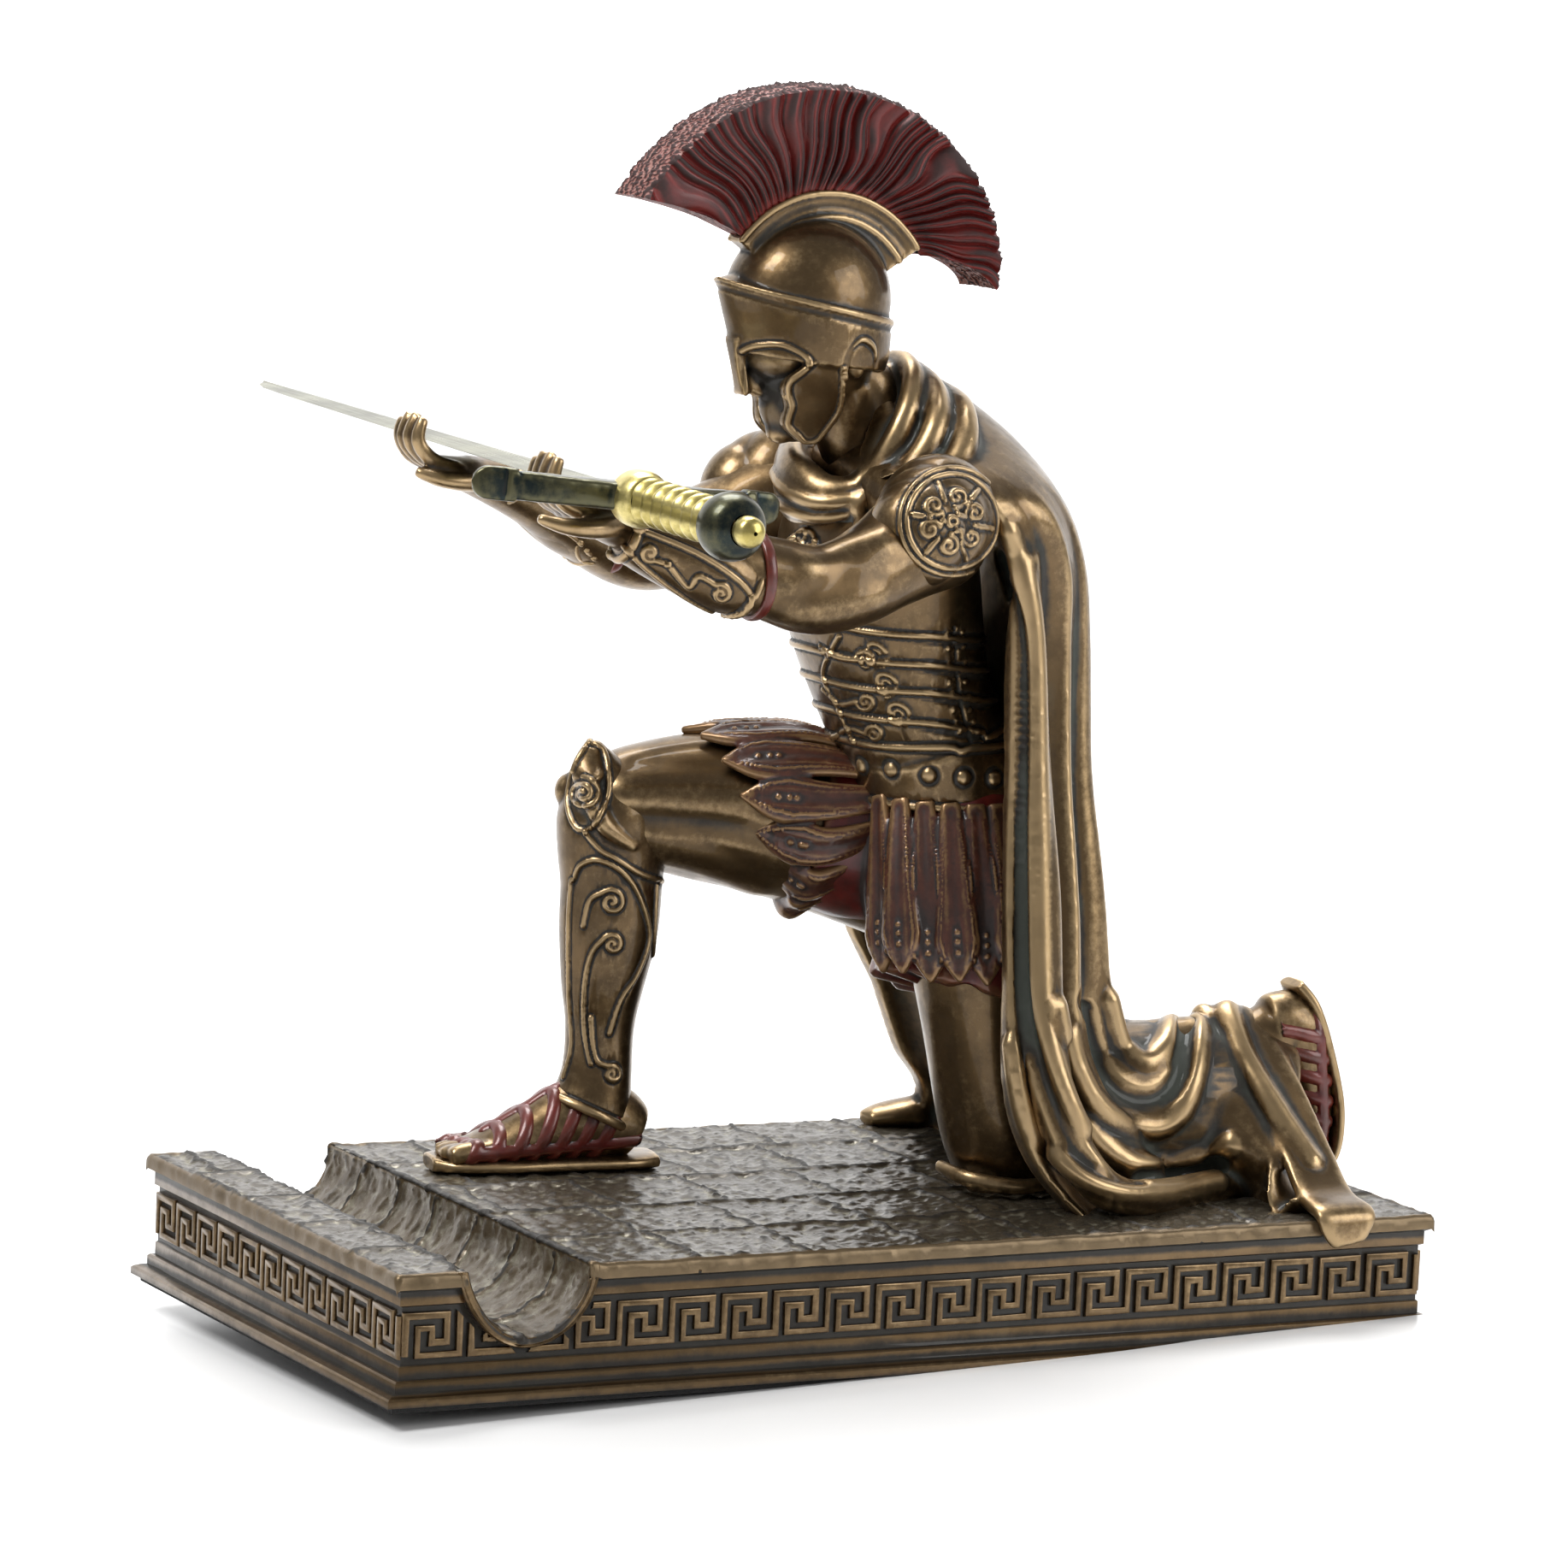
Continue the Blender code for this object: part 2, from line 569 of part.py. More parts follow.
def add_armour(bm):
    """Belt, cuirass bands, pauldron rims, bracers and greave."""
    belt = [(24.6, 3, 60.5, 13.9, 17), (22.2, 3, 65.8, 13, 16.1), (21.2, 3, 68.2, 12.9, 16)]
    add_limb(bm, belt, steps=2, points=28, blunt=2.3)
    bands = ((19.6, 71.4, 12.9, 16), (17.3, 76, 13.1, 16.4), (15.6, 80.5, 13.6, 17), (14.2, 86, 14, 18))
    for x, z, depth, width in bands:
        band = [(x + 0.35, 3, z - 0.8, depth, width), (x - 0.35, 3, z + 0.8, depth, width)]
        add_limb(bm, band, steps=1, points=28, blunt=2.3)
    near_bracer = [(-26.5, -28.3, 95.8, 4.6, 5.2), (-31, -27.9, 98, 5.6, 6), (-39, -26.8, 101, 4.8, 5.4),
                   (-46, -25.8, 103.6, 3.6, 4.8)]
    add_limb(bm, near_bracer)
    far_bracer = [(-25, 28, 96.8, 4.2, 5), (-30, 27, 99.8, 4.9, 5.8), (-36.5, 25.2, 103.6, 4.2, 5.3),
                  (-43, 23.2, 106.6, 3.2, 4.6)]
    add_limb(bm, far_bracer)
    greave = [
        (-25.8, 20, 8, 7, 6.6), (-25, 20, 10, 6.4, 6.2), (-24.2, 20, 15, 5.5, 5.4), (-24, 20, 22, 5.4, 5.4),
        (-23.8, 20, 29, 6.6, 6.3), (-23.2, 20, 37, 7.8, 7.3), (-23, 20, 44, 8, 7.6),
        (-23.3, 20, 50, 8.4, 8.1), (-24.4, 20, 57, 7.6, 8), (-26.4, 20, 63, 3.8, 5), (-27.2, 20, 66.6, 1, 1.6),
    ]
    add_limb(bm, greave, points=20)
    for side in (-1, 1):
        add_ball(bm, (-29.2, 20 + side * 3.6, 58.4), (2.4, 2.6, 3))


def add_strap(bm, start, middle, end, width, side):
    """One hanging strap with a pointed tip."""
    stations = [(*start, 1.1, width * 0.55), (*middle, 1.2, width * 0.8), (*end, 1.3, width * 0.9)]
    path = through(stations, 2)
    end_point = Vector(path[-1][:3])
    last = end_point + (end_point - Vector(path[-3][:3])).normalized() * width * 1.5
    add_limb(bm, [*path, (*last, 0.6, 0.4)], side=side, steps=1, points=8, blunt=3)


def add_skirt(bm):
    """Tunic over both thighs, and the studded straps that hang from the belt over it."""
    tunic = [(25.4, 2, 58, 13.2, 16.2), (24.4, -2, 49, 14, 15.2), (27.4, -5, 38, 14.4, 14.4),
             (25.2, -6.4, 29.4, 15, 13.2)]
    add_limb(bm, tunic, points=24)
    over_thigh = [(23, 9, 51, 14.6, 13.6), (12, 12.6, 53.6, 14.2, 13.2), (2, 15.4, 55, 13.4, 12.8),
                  (-3.6, 17.2, 55.6, 12.6, 12.2)]
    add_limb(bm, over_thigh, points=24)
    for i in range(8):
        share = i / 7
        angle = math.radians(200 + 112 * share)
        around = Vector((math.cos(angle), math.sin(angle), 0))
        side = (-around.y, around.x, 0)
        top = Vector((24, 2, 60)) + Vector((around.x * 13.4, around.y * 16.6, 0))
        middle = Vector((24.2, -2.6, 48)) + Vector((around.x * 15.3, around.y * 15.8, 0))
        end = Vector((24.6, -5, 38.5 + 2 * abs(share - 0.45))) + Vector((around.x * 15.6, around.y * 15, 0))
        add_strap(bm, top, middle, end, 2.5, side)
    for i in range(8):
        angle = math.radians(-155 + 190 * i / 7)
        around = Vector((0, math.sin(angle), math.cos(angle)))
        side = (0, around.z, -around.y)
        reach = 2.6 * (1 - around.z)
        top = Vector((15, 8, 57)) + around * 8.6
        middle = Vector((6.6, 14.2, 54.8)) + around * 13.6
        end = Vector((-0.6 + reach, 16.6, 55)) + around * 13.4
        add_strap(bm, top, middle, end, 2.6, side)


def add_feet(bm):
    """Planted foot and raised-heel foot, each in a strapped sandal with a thick sole."""
    planted = [
        (-17.8, 19, 5, 4.4, 4.2), (-22, 19.6, 7, 6.2, 5.2), (-28, 20.4, 7, 6.4, 5.4),
        (-34, 21.2, 5.4, 4.8, 5.6), (-40, 22.2, 4, 3.4, 5.8), (-45.5, 23.4, 3, 2.4, 5.2),
        (-48.5, 24, 2.4, 1.7, 3.6),
    ]
    add_limb(bm, planted, points=16)
    sole = [(-14.6, 19, 1, 1.2, 4), (-20, 19.4, 1, 1.2, 5.4), (-30, 20.6, 1, 1.2, 5.7),
            (-40, 22.2, 1, 1.2, 6.8), (-47, 23.6, 1, 1.2, 6.2), (-50.4, 24.2, 1, 1.2, 3.4)]
    add_limb(bm, sole, points=12, blunt=3)
    for i in range(5):
        share = i / 4
        x, y = -24.5 - 17 * share, 19.9 + 2.6 * share
        height, half = 11.6 - 6 * share, 5.9 + 0.4 * share
        strap = [(x + 1.4, y - half, 1.6, 0.9, 1.3), (x, y - half * 0.78, height * 0.72, 0.9, 1.3),
                 (x - 0.6, y, height + 0.8, 0.9, 1.3), (x, y + half * 0.78, height * 0.72, 0.9, 1.3),
                 (x + 1.4, y + half, 1.6, 0.9, 1.3)]
        add_limb(bm, strap, side=(1, 0, 0), points=8, steps=3)
    rear = [(73.5, -17.6, 24.5, 5, 4.8), (78, -18, 24.5, 5.4, 5), (80.4, -18, 17.5, 4.4, 5.2),
            (81.6, -18, 9.5, 3.4, 5.3), (80, -18, 4, 2.6, 5)]
    add_limb(bm, rear, points=16)
    rear_sole = [(77.6, -18, 31.6, 1, 3), (80, -18, 28, 1.1, 4.8), (83, -18, 20, 1.1, 5.2),
                 (84.8, -18, 11.5, 1.1, 5.8), (84, -18, 4.4, 1.1, 5.8), (80, -18, 1, 1.1, 5),
                 (76, -18, 0.8, 1.1, 3.4)]
    add_limb(bm, rear_sole, points=12, blunt=3)


def cloak_rows():
    """Rows from collar to hem: edge and back heights, near, far and back reach, near and far width."""
    return [
        (109.8, 127, 2.5, 2.5, 16, -5.4, 11.4), (109.4, 123, 2, 2, 22.5, -12, 18),
        (112.4, 116.5, 7, 7, 30.5, -18.6, 24.6), (108, 108, 15, 15, 36.5, -25.6, 31.6),
        (98, 98, 21, 21, 41, -25, 31), (85, 85, 21.3, 21.3, 43.6, -23.6, 29.6),
        (66, 66, 21.6, 21.6, 44.4, -24.6, 30.6), (50, 50, 21.2, 22.4, 46.6, -26.6, 31),
        (36, 35, 21, 24, 48.6, -28.4, 32), (30, 28, 20.8, 27, 51, -29, 32.4),
        (25, 22, 20.8, 30, 54, -29.4, 32.8), (20, 17, 21, 32.6, 59, -30, 34),
        (13, 11, 22.4, 36.6, 67, -31, 36), (6, 5, 26, 42.6, 74, -32, 39),
        (-1.5, -1.5, 33, 42, 77, -33, 42),
    ]


def add_cloak(bm):
    """The cloak from collar to plinth, deep folds down its back and a hem that lies over the calf."""
    columns = 49
    folds = 8
    rows = through(cloak_rows(), 2)
    outer, inner = [], []
    for row, (z_edge, z_back, near_x, far_x, back_x, near_y, far_y) in enumerate(rows):
        fall = min(max((row - 5) / 8, 0), 1)
        outside, inside = [], []
        for k in range(columns):
            angle = math.radians(-90 + 180 * k / (columns - 1))
            power = 0.78 if z_edge > 33 else 0.95
            c = max(math.cos(angle), 0) ** power
            s = math.copysign(abs(math.sin(angle)) ** power, math.sin(angle))
            edge_x = near_x + (far_x - near_x) * (s + 1) / 2
            middle = (near_y + far_y) / 2
            fold = 1 - fall * (0.025 - 0.055 * math.cos(math.tau * folds * k / (columns - 1)))
            y = middle + (far_y - near_y) / 2 * s
            z = z_edge + (z_back - z_edge) * c
            outside.append((edge_x + (back_x - edge_x) * c * fold, middle + (y - middle) * fold, z))
            dish = min(9, (back_x - edge_x) * 0.5)
            wall = 0.9 if z_edge < 105 else 0.72
            inside.append((edge_x + dish * c, middle + (y - middle) * wall, z))
        outer.append(outside)
        inner.append(inside)
    add_plate(bm, outer, inner)
    rim = -PLINTH_WIDTH / 2 / UNIT
    near_fold = [
        (22.5, -24, 100, 2.4, 2.4), (24, -24.6, 84, 2.6, 2.6), (25, -26, 66, 2.8, 2.8),
        (26, -28.5, 48, 3, 3), (26, -31, 30, 3.2, 3.2), (28, -34, 15, 3.2, 3.2),
        (33.4, -36.4, 5.4, 3.2, 3.2), (42, -35, 2.2, 2.8, 2.8), (56, -29, 1.6, 2.6, 2.6),
        (68, -25.5, 1.4, 2.2, 2.2),
    ]
    add_limb(bm, near_fold, points=12)
    swag = [(31, -27, 48, 1.6, 1.6), (36, -29.4, 32, 2.2, 2.2), (44, -29.6, 16, 2.6, 2.6),
            (54, -27.6, 9.6, 2.6, 2.6), (62, -23.6, 14, 2.2, 2.2), (64, -17, 21, 1.4, 1.4)]
    add_limb(bm, swag, points=12)
    band = [(68, -11, 24.6, 1.2, 3.2), (68, -17, 26.4, 1.3, 3.8), (70.4, -26, 18.6, 1.3, 4),
            (72, -34, 8.6, 1.4, 4.2), (71.6, -41, 2.4, 1.5, 4.6), (71.2, rim + 1.6, 0.8, 1.5, 4.8),
            (71.2, rim + 0.4, -1.4, 1.3, 4), (71.6, rim + 0.5, -4, 0.9, 2.2)]
    add_limb(bm, band, side=(1, 0, 0), points=12)
    over_calf = [(36, -12, 12, 13, 16), (48, -13.5, 12.3, 13.4, 14), (60, -15.5, 12.8, 13, 12),
                 (70, -17, 13.2, 12.6, 10.5), (76, -18, 12, 11, 8.5)]
    add_limb(bm, over_calf)
    skirt_fill = [(62, -17, 15, 9, 9), (66, -23, 9, 8, 8), (69, -31, 1, 3, 8), (70, -41, 0, 1, 6)]
    add_limb(bm, skirt_fill, points=14)
    puddle = [(34.5, 41, 0.8, 1.4, 2.4), (38, 41, 1.4, 2, 3.6), (44, 40, 2, 2.6, 4)]
    add_limb(bm, puddle, points=12)
    add_ball(bm, (29.6, -11, 1.4), (8.2, 6.6, 1.7))
    for y in (-4.2, -6, -7.8):
        pleat = [(4.4, y, 108.8, 1.2, 1), (2.2, y - 0.4, 104, 1.2, 1), (1.6, y - 0.8, 99.5, 1, 0.9)]
        add_limb(bm, pleat, points=8)
    add_ball(bm, (3.4, -6, 108.6), (2.4, 2.6, 2.2))
    chest_fold = [(4.6, -6, 108.4, 1.5, 1.5), (1.6, 2, 106, 1.6, 2.4), (4.4, 11, 108.6, 1.5, 2)]
    add_limb(bm, chest_fold, points=10)


def build_figure():
    """One casting: every form is joined by a voxel skin, thinned out, and cut to seat on the paving."""
    bm = bmesh.new()
    for add in (add_body, add_hands, add_helmet, add_crest, add_armour, add_skirt, add_feet, add_cloak):
        add(bm)
    bmesh.ops.transform(
        bm, matrix=Matrix.Translation((0, 0, FIGURE_BASE)) @ Matrix.Scale(UNIT, 4), verts=bm.verts
    )
    figure = new_object("figure", bm)
    skin = figure.modifiers.new("one skin", "REMESH")
    skin.mode = "VOXEL"
    skin.voxel_size = VOXEL
    settle = figure.modifiers.new("settle", "SMOOTH")
    settle.factor = 0.5
    settle.iterations = 1
    graph = bpy.context.evaluated_depsgraph_get()
    skinned = figure.evaluated_get(graph)
    triangles = sum(len(face.vertices) - 2 for face in skinned.data.polygons)
    thin = figure.modifiers.new("thin out", "DECIMATE")
    thin.ratio = FIGURE_TRIANGLES / triangles
    boolean(figure, "DIFFERENCE", seat_cutter())
    finish(figure, (0.3, 0.2, 0.1), 0.38, 0.85, 50)
    return figure


def seat_cutter():
    """The room under the figure; only the hem's drip hangs lower, past the near rim and its gap."""
    near = -PLINTH_WIDTH / 2 + RIM_INSET - SEAT_GAP
    bm = bmesh.new()
    add_box(bm, (-PLINTH_LENGTH, near, -FIGURE_BASE), (PLINTH_LENGTH, PLINTH_WIDTH, FIGURE_BASE))
    return cutter("seat cutter", bm)


def main():
    for obj in list(bpy.data.objects):
        bpy.data.objects.remove(obj, do_unlink=True)
    build_pad()
    build_plinth()
    build_figure()
    build_sword()


main()
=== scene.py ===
"""The looks of the kneeling warrior: antique bronze, red paint, worn paving and the letter opener."""

import math

import bmesh
import bpy
import numpy as np
from mathutils import Matrix, Vector
from mathutils.bvhtree import BVHTree


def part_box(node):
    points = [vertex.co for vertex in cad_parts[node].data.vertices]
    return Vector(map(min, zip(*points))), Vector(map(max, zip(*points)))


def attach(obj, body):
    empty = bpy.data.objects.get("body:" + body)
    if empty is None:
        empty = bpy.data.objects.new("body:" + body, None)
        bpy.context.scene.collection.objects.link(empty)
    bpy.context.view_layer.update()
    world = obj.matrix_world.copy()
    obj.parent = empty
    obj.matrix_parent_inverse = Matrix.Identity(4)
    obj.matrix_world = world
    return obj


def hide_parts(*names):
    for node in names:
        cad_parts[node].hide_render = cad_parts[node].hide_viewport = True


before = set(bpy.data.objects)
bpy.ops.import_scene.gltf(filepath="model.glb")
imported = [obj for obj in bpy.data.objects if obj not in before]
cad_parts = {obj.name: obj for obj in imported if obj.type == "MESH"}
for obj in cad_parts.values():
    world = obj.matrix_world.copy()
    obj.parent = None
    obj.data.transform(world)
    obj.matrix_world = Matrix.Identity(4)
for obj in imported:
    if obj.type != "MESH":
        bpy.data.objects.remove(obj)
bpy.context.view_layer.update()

bl_info = {
    "name": "Kneeling warrior",
    "version": (1, 0),
    "blender": (4, 5, 0),
    "location": "View3D > Sidebar > Warrior",
    "description": "Builds the looks of the kneeling warrior over its packed frame",
    "category": "Object",
}

# Lengths below are millimetres in the figure's own frame, whose origin is on the paving.
MM = 0.001
PLINTH_LOW, PLINTH_HIGH = (Vector(corner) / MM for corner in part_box("plinth"))
SEAT_GAP = 0.3
BASE = PLINTH_HIGH.z + SEAT_GAP
MEDIAN = 3
SIDES = (-1, 1)

# The camera that took the picture
EYE = Vector((-504.9, -962.3, 230.0))
TARGET = Vector((-6.46, -4.53, 83.31))
ROLL = -0.0445
LENS = 164.23


def smoothstep(low, high, value):
    share = np.clip((value - low) / (high - low), 0, 1)
    return share * share * (3 - 2 * share)


def wander(points, size, seed, octaves=2):
    """Smooth noise about -1 to 1 at points or a grid of them, a sum of waves in turned directions."""
    random = np.random.default_rng(seed)
    total = np.zeros(points.shape[:-1])
    reach = 0
    for octave in range(octaves):
        strength = 0.55**octave
        for _ in range(5):
            way = random.normal(size=3)
            way *= math.tau / (size * 0.5**octave) / np.linalg.norm(way) * random.uniform(0.6, 1.3)
            bend = random.normal(size=3)
            bend *= math.tau / (size * 2.7) / np.linalg.norm(bend)
            phase = random.uniform(0, math.tau)
            total += strength * np.sin(points @ way + phase + 1.4 * np.sin(points @ bend + phase * 2))
        reach += strength
    return total / (2.2 * reach)


def through(stations, steps):
    """Points on a smooth curve through the stations, each a tuple of numbers."""
    found = []
    count = len(stations)
    for i in range(count - 1):
        before, start, end, after = (
            np.array(stations[min(max(i + k, 0), count - 1)], float) for k in (-1, 0, 1, 2)
        )
        for step in range(steps):
            t = step / steps
            found.append(
                0.5 * (2 * start + (end - before) * t + (2 * before - 5 * start + 4 * end - after) * t**2
                       + (3 * start - before - 3 * end + after) * t**3)
            )
    found.append(np.array(stations[-1], float))
    return np.array(found)


def ring_angles(count):
    """Angles evenly round a ring."""
    return [math.tau * k / count for k in range(count)]


def squared(angle, blunt):
    """Cosine and sine of an angle on a ring that is squarer the blunter it is, and round at 2."""
    c, s = math.cos(angle), math.sin(angle)
    return math.copysign(abs(c) ** (2 / blunt), c), math.copysign(abs(s) ** (2 / blunt), s)


def rings_along(path, angles, side=(0, 1, 0), blunt=2.0):
    """Rings of points at some angles round a path of (x, y, z, half depth, half width across the side)."""
    rings = []
    for i, (x, y, z, depth, width) in enumerate(path):
        ahead = Vector(path[min(i + 1, len(path) - 1)][:3] - path[max(i - 1, 0)][:3]).normalized()
        across = (Vector(side) - ahead * ahead.dot(Vector(side))).normalized()
        over = ahead.cross(across)
        turns = [squared(angle, blunt) for angle in angles]
        rings.append([Vector((x, y, z)) + over * depth * c + across * width * s for c, s in turns])
    return rings


def bridge(bm, rings, closed=True):
    """Faces from each ring of points to the next; closed rings also get their two end faces."""
    loops = [[bm.verts.new(point) for point in ring] for ring in rings]
    for first, second in zip(loops, loops[1:]):
        for i in range(len(first) if closed else len(first) - 1):
            j = (i + 1) % len(first)
            bm.faces.new((first[i], first[j], second[j], second[i]))
    if closed:
        bm.faces.new(loops[0])
        bm.faces.new(loops[-1])


def mesh_of(bm, name):
    """The mesh of some finished forms, with its faces turned outward."""
    bmesh.ops.recalc_face_normals(bm, faces=bm.faces)
    mesh = bpy.data.meshes.new(name)
    bm.to_mesh(mesh)
    bm.free()
    return mesh


def block(name, rings):
    """A closed block with one ring of points for each of its levels."""
    bm = bmesh.new()
    bridge(bm, rings)
    return mesh_of(bm, name)


class Clay:
    """Rounded forms laid into one another, before they get one skin."""

    def __init__(self):
        self.bm = bmesh.new()

    def limb(self, stations, side=(0, 1, 0), steps=8, points=32, blunt=2.0):
        """A form along stations of (x, y, z, half depth, half width across the side)."""
        bridge(self.bm, rings_along(through(stations, steps), ring_angles(points), side, blunt))

    def ball(self, centre, radii, turn=0, lean=0):
        matrix = (
            Matrix.Translation(centre)
            @ Matrix.Rotation(math.radians(lean), 4, "X")
            @ Matrix.Rotation(math.radians(turn), 4, "Y")
            @ Matrix.Diagonal((*radii, 1))
        )
        bmesh.ops.create_icosphere(self.bm, subdivisions=4, radius=1, matrix=matrix)

    def plate(self, outer, inner):
        """A closed plate between two equal grids of points."""
        grids = [[[self.bm.verts.new(p) for p in row] for row in grid] for grid in (outer, inner)]
        rows, columns = len(outer), len(outer[0])
        for grid in grids:
            for i in range(rows - 1):
                for j in range(columns - 1):
                    corners = (grid[i][j], grid[i][j + 1], grid[i + 1][j + 1], grid[i + 1][j])
                    self.bm.faces.new(corners)
        border = [(0, j) for j in range(columns - 1)]
        border += [(i, columns - 1) for i in range(rows - 1)]
        border += [(rows - 1, j) for j in range(columns - 1, 0, -1)]
        border += [(i, 0) for i in range(rows - 1, 0, -1)]
        for (i, j), (k, m) in zip(border, border[1:] + border[:1]):
            self.bm.faces.new((grids[0][i][j], grids[0][k][m], grids[1][k][m], grids[1][i][j]))

    def skin(self, voxel, settle=2):
        """One closed skin over all the forms."""
        mesh = mesh_of(self.bm, "clay")
        obj = bpy.data.objects.new("clay", mesh)
        bpy.context.scene.collection.objects.link(obj)
        remesh = obj.modifiers.new("one skin", "REMESH")
        remesh.mode = "VOXEL"
        remesh.voxel_size = voxel
        made = obj.evaluated_get(bpy.context.evaluated_depsgraph_get()).to_mesh()
        points = np.empty(len(made.vertices) * 3)
        made.vertices.foreach_get("co", points)
        corners = np.empty(len(made.loops), np.int64)
        made.loops.foreach_get("vertex_index", corners)
        bpy.data.objects.remove(obj, do_unlink=True)
        bpy.data.meshes.remove(mesh)
        skin = Skin(points.reshape(-1, 3), corners.reshape(-1, 4))
        skin.settle(settle)
        return skin


# The depths of a hollow that count as one whole step of dark wash
FINE_DENT = 0.05
BROAD_DENT = 0.5


class Skin:
    """A dense skin of four-sided faces, carved by moving its points along their normals."""

    def __init__(self, points, faces):
        self.points = points
        self.faces = faces
        ends = np.concatenate([faces[:, [k, (k + 1) % 4]] for k in range(4)])
        ends.sort(axis=1)
        self.ends = np.unique(ends, axis=0)
        self.degree = np.bincount(self.ends.ravel(), minlength=len(points))[:, None]
        self.tree = None

    def averaged(self, values, rounds):
        """Values at the points, spread to their neighbours a number of times."""
        values = values.reshape(len(self.points), -1).astype(float)
        first, second = self.ends.T
        for _ in range(rounds):
            total = np.stack(
                [
                    np.bincount(first, values[second, k], len(values))
                    + np.bincount(second, values[first, k], len(values))
                    for k in range(values.shape[1])
                ],
                axis=1,
            )
            values = 0.5 * values + 0.5 * total / self.degree
        return values

    def settle(self, rounds):
        self.points = self.averaged(self.points, rounds)
        self.tree = None

    def normals(self):
        a, b, c, d = (self.points[self.faces[:, k]] for k in range(4))
        across = np.cross(c - a, d - b)
        total = np.stack(
            [
                sum(np.bincount(self.faces[:, k], across[:, m], len(self.points)) for k in range(4))
                for m in range(3)
            ],
            axis=1,
        )
        return total / np.maximum(np.linalg.norm(total, axis=1, keepdims=True), 1e-12)

    def raise_by(self, heights):
        self.points = self.points + self.normals() * np.asarray(heights)[:, None]
        self.tree = None

    def bvh(self):
        if self.tree is None:
            self.tree = BVHTree.FromPolygons(self.points.tolist(), self.faces.tolist())
        return self.tree

    def cast(self, starts, ways):
        """Where rays first meet the skin, leaving out those that miss."""
        hits = [self.bvh().ray_cast(Vector(start), Vector(way))[0] for start, way in zip(starts, ways)]
        return np.array([hit for hit in hits if hit is not None]).reshape(-1, 3)

    def near(self, path):
        """A path moved to the nearest places on the skin."""
        return np.array([self.bvh().find_nearest(Vector(point))[0] for point in path])

    def seen(self, strokes):
        """Puts strokes of the picture plane, (right, up) from its middle, on the skin."""
        right, up, _ = camera_axes()
        goals = [TARGET_PART + right * u + up * v for u, v in strokes]
        return self.cast([EYE_PART] * len(goals), [goal - EYE_PART for goal in goals])

    def distance(self, path, reach):
        """Distance of each point from a dense path, up to a reach."""
        found = np.full(len(self.points), reach * 2.0)
        if not len(path):
            return found
        low, high = path.min(axis=0) - reach, path.max(axis=0) + reach
        near = np.flatnonzero(((self.points > low) & (self.points < high)).all(axis=1))
        for part in np.array_split(near, max(1, len(near) * len(path) // 4_000_000)):
            gaps = np.linalg.norm(self.points[part][:, None] - path[None], axis=2)
            found[part] = gaps.min(axis=1)
        return found

    def bead(self, path, width, height, floor=0.0):
        """A half-round bead along a path, or a groove where the height is below 0."""
        share = np.clip(self.distance(path, width * 1.6) / width, 0, 1.6)
        heights = height * np.sqrt(np.clip(1 - share**2, 0, 1))
        heights -= floor * np.clip(1 - abs(share - 1.15) / 0.45, 0, 1)
        self.raise_by(heights)

    def swell(self, path, reach, height):
        """A soft muscle or fold along a path, or a hollow where the height is below 0."""
        share = np.clip(self.distance(path, reach) / reach, 0, 1)
        self.raise_by(height * (1 - share**2) ** 2)

    def dents(self):
        """How deep each point lies in a hollow, over a fine and a broad neighbourhood."""
        normals = self.normals()
        fine = ((self.averaged(self.points, 6) - self.points) * normals).sum(axis=1)
        broad = ((self.averaged(self.points, 60) - self.points) * normals).sum(axis=1)
        return self.averaged(fine, 1)[:, 0], broad

    def make(self, name, material, node, mask=None):
        """The finished piece, with its hollows stored for its material."""
        mesh = bpy.data.meshes.new(name)
        mesh.vertices.add(len(self.points))
        mesh.vertices.foreach_set("co", (self.points * MM + (0, 0, BASE * MM)).astype(np.float32).ravel())
        mesh.loops.add(self.faces.size)
        mesh.loops.foreach_set("vertex_index", self.faces.ravel().astype(np.int32))
        mesh.polygons.add(len(self.faces))
        mesh.polygons.foreach_set("loop_start", np.arange(0, self.faces.size, 4, dtype=np.int32))
        mesh.update(calc_edges=True)
        fine, broad = self.dents()
        for label, values in (("fine", fine / FINE_DENT), ("broad", broad / BROAD_DENT), ("mask", mask)):
            if values is None:
                values = np.zeros(len(self.points))
            layer = mesh.attributes.new(label, "FLOAT", "POINT")
            layer.data.foreach_set("value", np.clip(values, -4, 4).astype(np.float32))
        mesh.materials.append(material)
        piece = show(name, mesh, node)
        lighter = piece.modifiers.new("fewer triangles", "DECIMATE")
        lighter.ratio = min(1, TRIANGLES.get(name, MOST_TRIANGLES) / (2 * len(self.faces)))
        piece.data = bpy.data.meshes.new_from_object(
            piece.evaluated_get(bpy.context.evaluated_depsgraph_get())
        )
        piece.modifiers.clear()
        bpy.data.meshes.remove(mesh)
        piece.data.name = name
        piece.data.shade_smooth()
        return piece


MOST_TRIANGLES = 200_000
# How many triangles each large piece may keep
TRIANGLES = {
    "flesh": 135_000, "cloak": 105_000, "paving_stones": 125_000, "crest_hair": 105_000, "helmet": 65_000,
    "cuirass": 75_000, "limb_armour": 78_000, "skirt_straps": 78_000, "tunic": 16_000, "crest_ends": 30_000,
    "sandal_straps": 28_000, "arm_straps": 4_000, "soles": 9_000, "grip": 30_000,
}


def show(name, mesh, node):
    """Puts a piece in the scene in place of a node of the frame."""
    obj = bpy.data.objects.new(name, mesh)
    bpy.context.scene.collection.objects.link(obj)
    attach(obj, "root")
    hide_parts(node)
    return obj


